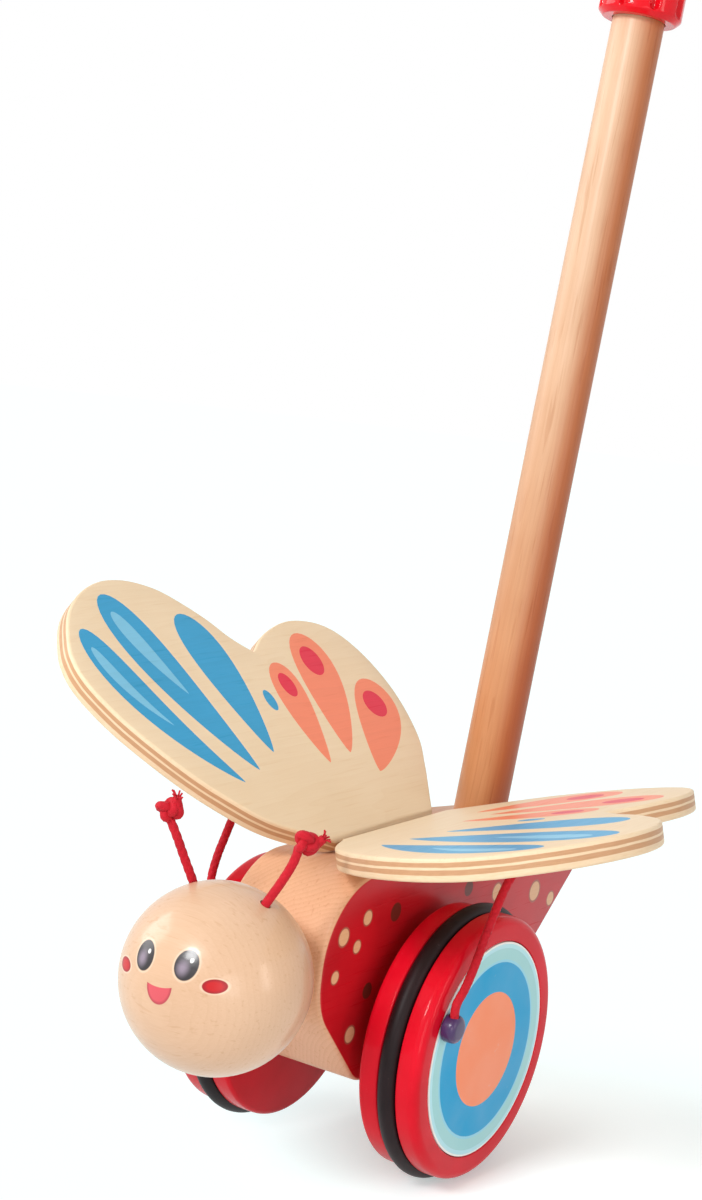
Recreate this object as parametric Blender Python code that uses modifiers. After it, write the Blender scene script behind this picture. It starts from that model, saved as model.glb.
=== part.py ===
"""Wooden push toy: a flying insect on two wheels, pushed by a long stick.

The wheels turn on a steel axle through the body. A swivel peg on each wheel's face
pulls and pushes a cord, and the cord flaps the wing above it on a hinge pin.

Frame, in metres: +X to the toy's right as seen from the front left, +Y to the back,
+Z up. The head looks along -Y. The origin lies on the flat underside of the body,
midway across it and straight below the axle.
"""

import math

import bmesh
import bpy
from mathutils import Matrix, Vector

# Driving dimensions, in metres and degrees

CLEARANCE = 0.0003  # between two pieces that touch or turn in each other
OVERRUN = 0.002  # how far a cutter runs past what it cuts

BODY_WIDTH = 0.036
BODY_LENGTH = 0.1703
BODY_HEIGHT = 0.065
NOSE_REACH = 0.057  # from the axle forward to the body's front
BODY_EDGE_ROUND = 0.0015
# Corners of the body's side outline: along the length, up the height, corner radius by height
BODY_CORNER_SHARES = (
    (0.0, 1.0, 0.385),
    (0.0, 0.428, 0.338),
    (0.158, 0.0, 0.185),
    (0.610, 0.0, 0.400),
    (1.0, 0.897, 0.077),
    (0.622, 1.0, 0.920),
)
TAIL_CORNER = 4
TOP_BEND_CORNER = 5

AXLE_HEIGHT = 0.0115  # above the body's underside
AXLE_DIAMETER = 0.006
AXLE_CHAMFER = 0.0006
CAP_DIAMETER = 0.012
CAP_LENGTH = 0.0045
CAP_GRIP = 0.0032  # how far a cap goes over the axle's end

WHEEL_DIAMETER = 0.081
WHEEL_THICKNESS = 0.0198
WHEEL_SIDE_GAP = 0.0063  # from the body's side to the wheel
WHEEL_OUTER_ROUND = 0.0030
WHEEL_INNER_ROUND = 0.0012
SPACER_DIAMETER = 0.014
TYRE_THICKNESS = 0.0056
TYRE_PROUD = 0.002  # how far the rubber ring stands out of the rim
TYRE_INSET = 0.0097  # from the wheel's inner face to the middle of the ring
RIM_BAND = 0.0075  # the painted rim that shows round the printed disc
DISC_THICKNESS = 0.001

CRANK_INSET = 0.0105  # from the rim in to the peg's middle
RIGHT_CRANK_ANGLE = 26.0  # above straight forward
LEFT_CRANK_ANGLE = 52.0
PEG_HEAD_DIAMETER = 0.0085
PEG_HEAD_LENGTH = 0.0044
PEG_HEAD_ROUND = 0.001
PEG_SHANK_DIAMETER = 0.004
PEG_SHANK_LENGTH = 0.012

CORD_DIAMETER = 0.0026
CORD_HOLE_DEPTH = 0.0038

HEAD_DIAMETER = 0.0548
HEAD_HEIGHT = 0.0391  # of its middle above the body's underside
HEAD_REACH = 0.08345  # of its middle in front of the axle
DOWEL_DIAMETER = 0.010
DOWEL_DEPTH_IN_HEAD = 0.014
DOWEL_DEPTH_IN_BODY = 0.013
DOWEL_CHAMFER = 0.0008
ANTENNA_SPREAD_ANGLE = 27.0  # of each antenna's hole from upright, sideways
ANTENNA_BACK_ANGLE = 4.0
ANTENNA_KNOT_RADIUS = 0.0022
ANTENNA_STUB_LENGTH = 0.0042

WING_THICKNESS = 0.0065
WING_REACH = 0.1044  # from the hinge axis to the tip
WING_FRONT = 0.0818  # from the axle's line forward
WING_REAR = 0.0613
WING_EDGE_ROUND = 0.0008
WING_GAP = 0.0025  # between the two wings' hinge edges
WING_LIFT = 0.00035  # between a wing's hinge edge and the body's top
RIGHT_WING_ANGLE = 16.0  # above level, as the toy is posed
LEFT_WING_ANGLE = 37.0
CORD_HOLE_REACH = 0.048  # from the hinge axis out to the cord's hole
CORD_HOLE_FORWARD = 0.003  # from the axle's line forward to the cord's hole
# Outline of a wing from the front of the hinge edge round the tips to its rear:
# out by the reach, back by the wing's whole length from its front
FOREWING_SHARES = (
    (0.005, 0.348),
    (0.048, 0.278),
    (0.101, 0.219),
    (0.168, 0.170),
    (0.268, 0.112),
    (0.383, 0.063),
    (0.517, 0.020),
    (0.651, 0.000),
    (0.747, 0.014),
    (0.824, 0.051),
    (0.891, 0.096),
    (0.939, 0.145),
    (0.975, 0.201),
    (0.998, 0.264),
    (1.000, 0.320),
    (0.985, 0.376),
    (0.944, 0.437),
    (0.881, 0.486),
    (0.808, 0.528),
    (0.732, 0.559),
    (0.668, 0.601),
)
HINDWING_SHARES = (
    (0.668, 0.601),
    (0.730, 0.690),
    (0.764, 0.818),
    (0.723, 0.934),
    (0.607, 0.991),
    (0.434, 1.000),
    (0.254, 0.956),
    (0.128, 0.883),
)
HINGE_FRONT_SHARE = 0.397  # where the straight hinge edge starts and ends along the length
HINGE_REAR_SHARE = 0.774

HINGE_PIN_DIAMETER = 0.0014
EYE_WIRE = 0.0011
EYE_SHANK_DEPTH = 0.010
EYE_SIDE_PLAY = 0.0006
EYE_PLACE_SHARES = (0.17, 0.83)  # along the straight hinge edge

STICK_DIAMETER = 0.017
STICK_LEAN = 8.5  # back from upright
STICK_PLACE = 0.0587  # behind the axle, at the body's top
SOCKET_DEPTH = 0.034
STICK_CHAMFER = 0.001
LOWER_STICK_SHOWS = 0.263  # between the body and the collar
UPPER_STICK_SHOWS = 0.168  # between the collar and the knob
COLLAR_DIAMETER = 0.0272
COLLAR_LENGTH = 0.033
COLLAR_SEAT_DEPTH = 0.008
COLLAR_CHAMFER = 0.0024
COLLAR_RIM = 0.0034  # from the collar's ends to its grooves
COLLAR_GROOVES = 8
GROOVE_WIDTH = 0.0028
GROOVE_DEPTH = 0.0022
GROOVE_EDGE_ROUND = 0.0005
TENON_DIAMETER = 0.011
KNOB_DIAMETER = 0.036
KNOB_BORE_DEPTH = 0.016

ROUND_SIDES = 40
SMALL_SIDES = 20
FINE_SIDES = 12
WIRE_SIDES = 8
BALL_STEPS = 14
ARC_STEP = 8.0  # degrees between points on an outline's arcs

# Places worked out from the driving dimensions

HALF_BODY = BODY_WIDTH / 2
HEAD_RADIUS = HEAD_DIAMETER / 2
CORD_RADIUS = CORD_DIAMETER / 2
AXLE_RADIUS = AXLE_DIAMETER / 2
WHEEL_INNER_X = HALF_BODY + WHEEL_SIDE_GAP
WHEEL_OUTER_X = WHEEL_INNER_X + WHEEL_THICKNESS
DISC_RADIUS = WHEEL_DIAMETER / 2 - RIM_BAND
CRANK_RADIUS = WHEEL_DIAMETER / 2 - CRANK_INSET
DISC_SEAT = WHEEL_THICKNESS - DISC_THICKNESS - CLEARANCE
PEG_SHANK_END = DISC_SEAT - PEG_SHANK_LENGTH
PEG_HEAD_X = WHEEL_OUTER_X + CLEARANCE
CORD_X = PEG_HEAD_X + PEG_HEAD_LENGTH / 2
HINGE_X = WING_THICKNESS / 2 + WING_GAP / 2
HINGE_Z = BODY_HEIGHT + WING_LIFT + WING_THICKNESS / 2
WING_LENGTH = WING_FRONT + WING_REAR
HINGE_FRONT_Y = -WING_FRONT + HINGE_FRONT_SHARE * WING_LENGTH
HINGE_REAR_Y = -WING_FRONT + HINGE_REAR_SHARE * WING_LENGTH
EYE_INNER = HINGE_PIN_DIAMETER / 2 + CLEARANCE
EYE_MIDDLE = EYE_INNER + EYE_WIRE / 2
EYE_OUTER = EYE_INNER + EYE_WIRE
STICK_RADIUS = STICK_DIAMETER / 2
STICK_AXIS = Vector((0.0, math.sin(math.radians(STICK_LEAN)), math.cos(math.radians(STICK_LEAN))))

SIDES = {"left": -1, "right": 1}
CRANK_ANGLES = {"left": LEFT_CRANK_ANGLE, "right": RIGHT_CRANK_ANGLE}
WING_ANGLES = {"left": LEFT_WING_ANGLE, "right": RIGHT_WING_ANGLE}

# The cords' routes, chosen by hand. A link cord runs from its peg up to its wing,
# and an antenna from its hole in the head up to its knot.
LINK_ROUTES = {
    "right": (
        (0.0470, -0.0281, 0.0318),
        (0.0473, -0.0248, 0.0362),
        (0.0476, -0.0219, 0.0412),
        (0.0481, -0.0199, 0.0468),
        (0.0487, -0.0182, 0.0525),
        (0.0492, -0.0158, 0.0585),
        (0.0500, -0.0108, 0.0675),
    ),
    "left": (
        (-0.0467, -0.0203, 0.0398),
        (-0.0468, -0.0222, 0.0455),
        (-0.0466, -0.0207, 0.0525),
        (-0.0462, -0.0180, 0.0590),
        (-0.0456, -0.0131, 0.0700),
        (-0.0450, -0.0079, 0.0820),
    ),
}
ANTENNA_ROUTES = {
    "right": ((0.0145, -0.0787, 0.0693), (0.0163, -0.0768, 0.0745), (0.0180, -0.0754, 0.0792)),
    "left": ((-0.0146, -0.0841, 0.0702), (-0.0164, -0.0862, 0.0762), (-0.0180, -0.0880, 0.0818)),
}
CORD_POINT_STEP = 0.0062  # between the points of a cord's tube


# Scene and objects


def clear_scene():
    for item in list(bpy.data.objects):
        bpy.data.objects.remove(item, do_unlink=True)
    for group in list(bpy.data.collections):
        bpy.data.collections.remove(group)


def make_collection(name):
    group = bpy.data.collections.new(name)
    bpy.context.scene.collection.children.link(group)
    return group


def make_material(name, color, roughness, metallic=0.0):
    material = bpy.data.materials.new(name)
    material.use_nodes = True
    shader = material.node_tree.nodes["Principled BSDF"]
    shader.inputs["Base Color"].default_value = (*color, 1.0)
    shader.inputs["Roughness"].default_value = roughness
    shader.inputs["Metallic"].default_value = metallic
    material.diffuse_color = (*color, 1.0)
    return material


clear_scene()
toy = make_collection("winged_push_toy")
cutters = make_collection("cutters")


def add_part(name, data, material, matrix=None):
    part = bpy.data.objects.new(name, data)
    if material:
        data.materials.append(make_material(f"{name}_finish", *material))
    part.matrix_world = matrix or Matrix.Identity(4)
    toy.objects.link(part)
    return part


def add_cutter(name, data, matrix=None):
    cutter = bpy.data.objects.new(name, data)
    cutter.matrix_world = matrix or Matrix.Identity(4)
    cutter.display_type = "WIRE"
    cutter.hide_render = True
    cutters.objects.link(cutter)
    return cutter


def combine(part, other, operation):
    modifier = part.modifiers.new(f"{operation.lower()}_{other.name}", "BOOLEAN")
    modifier.object = other
    modifier.operation = operation
    modifier.solver = "EXACT"


def cut(part, cutter):
    combine(part, cutter, "DIFFERENCE")


def join_on(part, piece):
    combine(part, piece, "UNION")


def smooth(mesh):
    mesh.shade_smooth()
    mesh.set_sharp_from_angle(angle=math.radians(40))


# Shapes


def along(axis, place):
    """The matrix that stands local +Z along an axis, at a place."""
    turn = Vector(axis).to_track_quat("Z", "Y")
    return Matrix.Translation(Vector(place)) @ turn.to_matrix().to_4x4()


def outward(side, distance, height=0.0, depth=0.0):
    """The matrix that stands local +Z out of the toy's side, at a distance from its middle."""
    return along((side, 0.0, 0.0), (side * distance, depth, height))


def cylinder_mesh(name, radius, length, sides):
    """A cylinder that stands on its origin and rises along +Z."""
    mesh = bpy.data.meshes.new(name)
    shape = bmesh.new()
    bmesh.ops.create_cone(
        shape, cap_ends=True, segments=sides, radius1=radius, radius2=radius, depth=length
    )
    bmesh.ops.translate(shape, vec=(0.0, 0.0, length / 2), verts=shape.verts)
    shape.to_mesh(mesh)
    shape.free()
    smooth(mesh)
    return mesh


def torus_mesh(name, major, minor, major_steps, minor_steps):
    """A ring round +Z, made as a circle of small circles."""
    ring = [
        (major + minor * math.cos(turn), minor * math.sin(turn))
        for turn in (-2 * math.pi * step / minor_steps for step in range(minor_steps))
    ]
    return turned_mesh(name, ring, major_steps, closed=True)


def turned_mesh(name, profile, steps, closed=False):
    """The mesh of a profile of (radius, height) points that is turned round +Z.

    The profile runs from the top down its outer side, and a closed one comes back up inside.
    """
    mesh = bpy.data.meshes.new(f"{name}_profile")
    count = len(profile)
    edges = [(i, i + 1) for i in range(count - 1)]
    if closed:
        edges.append((count - 1, 0))
    mesh.from_pydata([(radius, 0.0, height) for radius, height in profile], edges, [])
    spinner = bpy.data.objects.new(f"{name}_spinner", mesh)
    toy.objects.link(spinner)
    screw = spinner.modifiers.new("turn", "SCREW")
    screw.axis = "Z"
    screw.steps = steps
    screw.render_steps = steps
    screw.use_merge_vertices = True
    screw.merge_threshold = 0.000001
    weld = spinner.modifiers.new("weld", "WELD")
    weld.merge_threshold = 0.000001
    return baked(spinner, name)


def baked(part, name):
    """The evaluated mesh of a helper object, which is then removed."""
    bpy.context.view_layer.update()
    graph = bpy.context.evaluated_depsgraph_get()
    mesh = bpy.data.meshes.new_from_object(part.evaluated_get(graph))
    mesh.name = name
    old = part.data
    bpy.data.objects.remove(part, do_unlink=True)
    if isinstance(old, bpy.types.Curve):
        bpy.data.curves.remove(old)
    shape = bmesh.new()
    shape.from_mesh(mesh)
    bmesh.ops.remove_doubles(shape, verts=shape.verts, dist=0.000001)
    shape.to_mesh(mesh)
    shape.free()
    smooth(mesh)
    return mesh


def plate_mesh(name, outline, thickness):
    """A flat plate: a closed outline in local XY, thickened evenly about z = 0."""
    curve = bpy.data.curves.new(name, "CURVE")
    curve.dimensions = "2D"
    curve.fill_mode = "BOTH"
    curve.extrude = thickness / 2
    spline = curve.splines.new("POLY")
    spline.points.add(len(outline) - 1)
    for point, (x, y) in zip(spline.points, outline):
        point.co = (x, y, 0.0, 1.0)
    spline.use_cyclic_u = True
    holder = bpy.data.objects.new(name, curve)
    toy.objects.link(holder)
    return baked(holder, name)


def tube_mesh(name, points, radius, resolution):
    """A solid round tube along a list of points."""
    curve = bpy.data.curves.new(name, "CURVE")
    curve.dimensions = "3D"
    curve.bevel_depth = radius
    curve.bevel_resolution = resolution
    curve.use_fill_caps = True
    spline = curve.splines.new("POLY")
    spline.points.add(len(points) - 1)
    for point, place in zip(spline.points, points):
        point.co = (*place, 1.0)
    holder = bpy.data.objects.new(name, curve)
    toy.objects.link(holder)
    return baked(holder, name)


def edge_bevel(part, width, segments=2):
    bevel = part.modifiers.new("rounded_edges", "BEVEL")
    bevel.width = width
    bevel.segments = segments
    bevel.limit_method = "ANGLE"
    bevel.angle_limit = math.radians(50)


# Outlines


def arc(middle, radius, first, last, steps):
    """Points on an arc from one angle to another, in degrees."""
    return [
        (middle[0] + radius * math.cos(turn), middle[1] + radius * math.sin(turn))
        for turn in (math.radians(first + (last - first) * i / steps) for i in range(steps + 1))
    ]


def rounded_outline(corners):
    """An outline of (x, y, radius) corners with an arc at each."""
    points = []
    for index, (x, y, radius) in enumerate(corners):
        here = Vector((x, y))
        back = (Vector(corners[index - 1][:2]) - here).normalized()
        ahead = (Vector(corners[(index + 1) % len(corners)][:2]) - here).normalized()
        half = back.angle(ahead) / 2
        start = here + back * (radius / math.tan(half))
        end = here + ahead * (radius / math.tan(half))
        middle = here + (back + ahead).normalized() * (radius / math.sin(half))
        first = math.atan2(start.y - middle.y, start.x - middle.x)
        sweep = math.atan2(end.y - middle.y, end.x - middle.x) - first
        sweep = (sweep + math.pi) % (2 * math.pi) - math.pi
        steps = max(2, round(abs(math.degrees(sweep)) / ARC_STEP))
        points += arc(middle, radius, math.degrees(first), math.degrees(first + sweep), steps)
    return points


def smooth_path(points, pieces):
    """Points on a Catmull-Rom curve through the given points, as many pieces to each span."""
    knots = [Vector(point) for point in points]
    ends = [2 * knots[0] - knots[1], *knots, 2 * knots[-1] - knots[-2]]
    path = []
    for before, start, end, after in zip(ends, ends[1:], ends[2:], ends[3:]):
        for step in range(pieces):
            t = step / pieces
            bend = 2 * before - 5 * start + 4 * end - after
            twist = 3 * (start - end) + after - before
            path.append(start + ((end - before) * t + bend * t * t + twist * t**3) / 2)
    return path + [knots[-1]]


def even_path(points, spacing):
    """The same smooth curve with points at an even spacing."""
    fine = smooth_path(points, ROUND_SIDES)
    lengths = [0.0]
    for start, end in zip(fine, fine[1:]):
        lengths.append(lengths[-1] + (end - start).length)
    count = max(2, round(lengths[-1] / spacing))
    path = []
    place = 0
    for step in range(count + 1):
        want = lengths[-1] * step / count
        while place < len(fine) - 2 and lengths[place + 1] < want:
            place += 1
        share = (want - lengths[place]) / (lengths[place + 1] - lengths[place])
        path.append(fine[place].lerp(fine[place + 1], min(1.0, share)))
    return path, lengths[-1]


# Body


def body_corners():
    """The body's side outline as (y, z, corner radius)."""
    return [
        (-NOSE_REACH + out * BODY_LENGTH, up * BODY_HEIGHT, radius * BODY_HEIGHT)
        for out, up, radius in BODY_CORNER_SHARES
    ]


def body_top_height(y):
    """The height of the body's sloping top behind its bend."""
    corners = body_corners()
    tail_y, tail_z, _ = corners[TAIL_CORNER]
    bend_y, bend_z, _ = corners[TOP_BEND_CORNER]
    return bend_z + (tail_z - bend_z) * (y - bend_y) / (tail_y - bend_y)


def stick_foot():
    """Where the stick's axis meets the body's top."""
    return Vector((0.0, STICK_PLACE, body_top_height(STICK_PLACE)))


def eye_places(side):
    """The middles of one wing's two hinge eyes, front first."""
    return [
        Vector((side * HINGE_X, HINGE_FRONT_Y + share * (HINGE_REAR_Y - HINGE_FRONT_Y), HINGE_Z))
        for share in EYE_PLACE_SHARES
    ]


def make_body():
    # Local x, y and z of the plate are the toy's Y, Z and X.
    lying = Matrix(((0, 0, 1, 0), (1, 0, 0, 0), (0, 1, 0, 0), (0, 0, 0, 1)))
    mesh = plate_mesh("body_block", rounded_outline(body_corners()), BODY_WIDTH)
    body = add_part("body_block", mesh, ((0.78, 0.58, 0.40), 0.5), lying)
    edge_bevel(body, BODY_EDGE_ROUND)

    bore_length = BODY_WIDTH + 2 * OVERRUN
    bore = cylinder_mesh("axle_bore", AXLE_RADIUS + CLEARANCE, bore_length, SMALL_SIDES)
    cut(body, add_cutter("axle_bore", bore, outward(1, -bore_length / 2, AXLE_HEIGHT)))

    depth = DOWEL_DEPTH_IN_BODY + OVERRUN
    bore = cylinder_mesh("head_bore", DOWEL_DIAMETER / 2 + CLEARANCE, depth, SMALL_SIDES)
    mouth = (0.0, -NOSE_REACH - OVERRUN, HEAD_HEIGHT)
    cut(body, add_cutter("head_bore", bore, along((0.0, 1.0, 0.0), mouth)))

    depth = SOCKET_DEPTH + STICK_RADIUS
    bore = cylinder_mesh("stick_socket", STICK_RADIUS + CLEARANCE, depth, ROUND_SIDES)
    floor = stick_foot() - STICK_AXIS * SOCKET_DEPTH
    cut(body, add_cutter("stick_socket", bore, along(STICK_AXIS, floor)))

    depth = EYE_SHANK_DEPTH + OVERRUN
    bore = cylinder_mesh("eye_bore", EYE_WIRE / 2 + CLEARANCE, depth, FINE_SIDES)
    for word, side in SIDES.items():
        for end, place in zip(("front", "rear"), eye_places(side)):
            floor = Matrix.Translation((place.x, place.y, BODY_HEIGHT - EYE_SHANK_DEPTH))
            cut(body, add_cutter(f"eye_bore_{word}_{end}", bore, floor))


# Head


def head_middle():
    return Vector((0.0, -HEAD_REACH, HEAD_HEIGHT))


def make_head():
    # The ball is turned round the dowel's axis, with its flat back and blind bore at the foot.
    flat = HEAD_REACH - NOSE_REACH - CLEARANCE
    flat_angle = math.degrees(math.asin(flat / HEAD_RADIUS))
    bore = DOWEL_DIAMETER / 2 + CLEARANCE
    floor = -flat + DOWEL_DEPTH_IN_HEAD
    profile = arc((0.0, 0.0), HEAD_RADIUS, 90.0, -flat_angle, BALL_STEPS)
    profile += [(bore, -flat), (bore, floor), (0.0, floor)]
    profile[0] = (0.0, HEAD_RADIUS)
    mesh = turned_mesh("head_ball", profile, ROUND_SIDES)
    head = add_part(
        "head_ball", mesh, ((0.86, 0.68, 0.48), 0.4), along((0.0, -1.0, 0.0), head_middle())
    )
    depth = CORD_HOLE_DEPTH + 2 * OVERRUN
    hole = cylinder_mesh("antenna_hole", CORD_RADIUS + CLEARANCE, depth, FINE_SIDES)
    for word, side in SIDES.items():
        axis = antenna_axis(side)
        floor = head_middle() + axis * (HEAD_RADIUS - CORD_HOLE_DEPTH)
        cut(head, add_cutter(f"antenna_hole_{word}", hole, along(axis, floor)))

    length = DOWEL_DEPTH_IN_HEAD + DOWEL_DEPTH_IN_BODY - CLEARANCE
    mesh = chamfered_rod("head_dowel", DOWEL_DIAMETER / 2, length, DOWEL_CHAMFER, SMALL_SIDES)
    start = (0.0, -NOSE_REACH + DOWEL_DEPTH_IN_BODY - CLEARANCE, HEAD_HEIGHT)
    add_part("head_dowel", mesh, ((0.74, 0.55, 0.36), 0.6), along((0.0, -1.0, 0.0), start))


def chamfered_rod(name, radius, length, chamfer, sides):
    profile = [
        (0.0, length),
        (radius - chamfer, length),
        (radius, length - chamfer),
        (radius, chamfer),
        (radius - chamfer, 0.0),
        (0.0, 0.0),
    ]
    return turned_mesh(name, profile, sides)


def antenna_axis(side):
    spread = math.radians(ANTENNA_SPREAD_ANGLE)
    back = math.radians(ANTENNA_BACK_ANGLE)
    upright = Vector((0.0, math.sin(back), math.cos(back)))
    return upright * math.cos(spread) + Vector((side * math.sin(spread), 0.0, 0.0))


def make_antennas():
    for word, side in SIDES.items():
        axis = antenna_axis(side)
        surface = head_middle() + axis * HEAD_RADIUS
        foot = surface - axis * (CORD_HOLE_DEPTH - CLEARANCE)
        route = [foot, surface, *ANTENNA_ROUTES[word]]
        path, length = even_path(route, CORD_POINT_STEP / 2)
        print(f"antenna_{word} cord shows {length - CORD_HOLE_DEPTH:.4f} m below its knot")
        red = ((0.72, 0.03, 0.06), 0.8)
        mesh = tube_mesh(f"antenna_{word}", path, CORD_RADIUS, 2)
        antenna = add_part(f"antenna_{word}", mesh, red)
        # An overhand knot reads as two crossed turns with the cord's end standing out.
        tip = path[-1]
        upward = (path[-1] - path[-2]).normalized()
        sideways = upward.orthogonal().normalized()
        turn = torus_mesh(f"knot_turn_{word}", ANTENNA_KNOT_RADIUS, CORD_RADIUS, FINE_SIDES, WIRE_SIDES)
        for name, lean in (("low", 1.0), ("high", -1.0)):
            axis = upward + sideways * lean
            join_on(antenna, add_cutter(f"knot_{name}_{word}", turn, along(axis, tip)))
        stub = cylinder_mesh(f"knot_end_{word}", CORD_RADIUS, ANTENNA_STUB_LENGTH, FINE_SIDES)
        lean = upward + sideways.cross(upward) * side
        join_on(antenna, add_cutter(f"knot_end_{word}", stub, along(lean, tip + lean * CORD_RADIUS)))


# Wheels and their pegs


def crank_place(word):
    """The middle of a wheel's peg, across the axle, as (y, z)."""
    angle = math.radians(CRANK_ANGLES[word])
    return -CRANK_RADIUS * math.cos(angle), AXLE_HEIGHT + CRANK_RADIUS * math.sin(angle)


def wheel_profile():
    """The wheel's section from its outer face round the rim to its bore."""
    rim = WHEEL_DIAMETER / 2
    ring = TYRE_THICKNESS / 2
    ring_middle = rim + TYRE_PROUD - ring
    groove_floor = ring_middle - ring - CLEARANCE
    groove_half = ring + CLEARANCE
    seat = DISC_RADIUS + CLEARANCE
    bore = AXLE_RADIUS + CLEARANCE
    pocket = CAP_DIAMETER / 2 + CLEARANCE
    pocket_floor = DISC_SEAT - CAP_LENGTH - 2 * CLEARANCE
    outer = WHEEL_OUTER_ROUND
    inner = WHEEL_INNER_ROUND
    profile = [(seat, WHEEL_THICKNESS)]
    profile += arc((rim - outer, WHEEL_THICKNESS - outer), outer, 90.0, 0.0, 4)
    profile += [
        (rim, TYRE_INSET + groove_half),
        (groove_floor, TYRE_INSET + groove_half),
        (groove_floor, TYRE_INSET - groove_half),
        (rim, TYRE_INSET - groove_half),
    ]
    profile += arc((rim - inner, inner), inner, 0.0, -90.0, 2)
    profile += [(bore, 0.0), (bore, pocket_floor), (pocket, pocket_floor)]
    profile += [(pocket, DISC_SEAT), (seat, DISC_SEAT)]
    return profile


def make_wheels():
    red = ((0.70, 0.02, 0.04), 0.25)
    rubber = ((0.03, 0.03, 0.03), 0.7)
    blue = ((0.05, 0.35, 0.60), 0.35)
    rim = WHEEL_DIAMETER / 2
    ring = TYRE_THICKNESS / 2
    wheel_mesh = turned_mesh("wheel", wheel_profile(), ROUND_SIDES, closed=True)
    tyre_mesh = torus_mesh("tyre", rim + TYRE_PROUD - ring, ring, ROUND_SIDES, FINE_SIDES)
    bore_length = PEG_SHANK_LENGTH + CLEARANCE + WHEEL_THICKNESS
    shank_bore = cylinder_mesh("peg_bore", PEG_SHANK_DIAMETER / 2 + CLEARANCE, bore_length, SMALL_SIDES)
    for word, side in SIDES.items():
        hub = outward(side, WHEEL_INNER_X, AXLE_HEIGHT)
        wheel = add_part(f"wheel_{word}", wheel_mesh.copy(), red, hub)
        tyre_middle = outward(side, WHEEL_INNER_X + TYRE_INSET, AXLE_HEIGHT)
        add_part(f"tyre_{word}", tyre_mesh.copy(), rubber, tyre_middle)
        disc_mesh = cylinder_mesh(f"wheel_disc_{word}", DISC_RADIUS, DISC_THICKNESS, ROUND_SIDES)
        disc_x = WHEEL_OUTER_X - DISC_THICKNESS
        disc = add_part(f"wheel_disc_{word}", disc_mesh, blue, outward(side, disc_x, AXLE_HEIGHT))
        peg_y, peg_z = crank_place(word)
        floor = outward(side, WHEEL_INNER_X + PEG_SHANK_END - CLEARANCE, peg_z, peg_y)
        bore = add_cutter(f"peg_bore_{word}", shank_bore, floor)
        cut(wheel, bore)
        cut(disc, bore)
        make_peg(word, side)


def make_peg(word, side):
    head = PEG_HEAD_DIAMETER / 2
    shank = PEG_SHANK_DIAMETER / 2
    shoulder = WHEEL_THICKNESS - PEG_SHANK_END + CLEARANCE
    top = shoulder + PEG_HEAD_LENGTH
    profile = [(0.0, top)]
    profile += arc((head - PEG_HEAD_ROUND, top - PEG_HEAD_ROUND), PEG_HEAD_ROUND, 90.0, 0.0, 3)
    profile += [(head, shoulder), (shank, shoulder), (shank, 0.0), (0.0, 0.0)]
    mesh = turned_mesh(f"crank_peg_{word}", profile, SMALL_SIDES)
    peg_y, peg_z = crank_place(word)
    place = outward(side, WHEEL_INNER_X + PEG_SHANK_END, peg_z, peg_y)
    peg = add_part(f"crank_peg_{word}", mesh, ((0.16, 0.07, 0.25), 0.35), place)
    # The cord goes into a cross hole in the peg's head, on the side that faces the wing.
    hole = cylinder_mesh(f"cord_hole_{word}", CORD_RADIUS + CLEARANCE, PEG_HEAD_DIAMETER, FINE_SIDES)
    middle = Vector((side * CORD_X, peg_y, peg_z))
    cut(peg, add_cutter(f"peg_cord_hole_{word}", hole, along(peg_cord_axis(word), middle)))


def peg_cord_axis(word):
    """The way the link cord leaves its peg."""
    peg_y, peg_z = crank_place(word)
    first = Vector(LINK_ROUTES[word][0])
    return Vector((0.0, first.y - peg_y, first.z - peg_z)).normalized()


def make_axle():
    steel = ((0.62, 0.62, 0.63), 0.3, 1.0)
    plastic = ((0.85, 0.83, 0.78), 0.5)
    cap_face = WHEEL_INNER_X + DISC_SEAT - CLEARANCE
    half = cap_face - CAP_LENGTH + CAP_GRIP
    mesh = chamfered_rod("axle_rod", AXLE_RADIUS, 2 * half, AXLE_CHAMFER, SMALL_SIDES)
    add_part("axle_rod", mesh, steel, outward(1, -half, AXLE_HEIGHT))
    spacer = ring_mesh("axle_spacer", SPACER_DIAMETER / 2, WHEEL_SIDE_GAP - 2 * CLEARANCE)
    cap_radius = CAP_DIAMETER / 2
    inside = AXLE_RADIUS + CLEARANCE
    grip = CAP_GRIP + CLEARANCE
    cap = [
        (0.0, CAP_LENGTH),
        (cap_radius - AXLE_CHAMFER, CAP_LENGTH),
        (cap_radius, CAP_LENGTH - AXLE_CHAMFER),
        (cap_radius, 0.0),
        (inside, 0.0),
        (inside, grip),
        (0.0, grip),
    ]
    for word, side in SIDES.items():
        beside = outward(side, HALF_BODY + CLEARANCE, AXLE_HEIGHT)
        add_part(f"axle_spacer_{word}", spacer.copy(), plastic, beside)
        mesh = turned_mesh(f"axle_cap_{word}", cap, SMALL_SIDES)
        add_part(f"axle_cap_{word}", mesh, steel, outward(side, cap_face - CAP_LENGTH, AXLE_HEIGHT))


def ring_mesh(name, radius, length):
    """A short tube round the axle."""
    bore = AXLE_RADIUS + CLEARANCE
    profile = [(bore, length), (radius, length), (radius, 0.0), (bore, 0.0)]
    return turned_mesh(name, profile, SMALL_SIDES, closed=True)


# Wings and their hinges


def wing_outline(side):
    """A wing's outline in its own plane, out from the hinge axis and back."""
    inner = -WING_THICKNESS / 2
    curve = smooth_path([(*point, 0.0) for point in FOREWING_SHARES], 3)
    curve += smooth_path([(*point, 0.0) for point in HINDWING_SHARES], 3)[1:]
    points = [(point.x * WING_REACH, -WING_FRONT + point.y * WING_LENGTH) for point in curve]
    points.append((inner, HINGE_REAR_Y))
    points.append((inner, HINGE_FRONT_Y))
    return [(side * x, y) for x, y in points]


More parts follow.
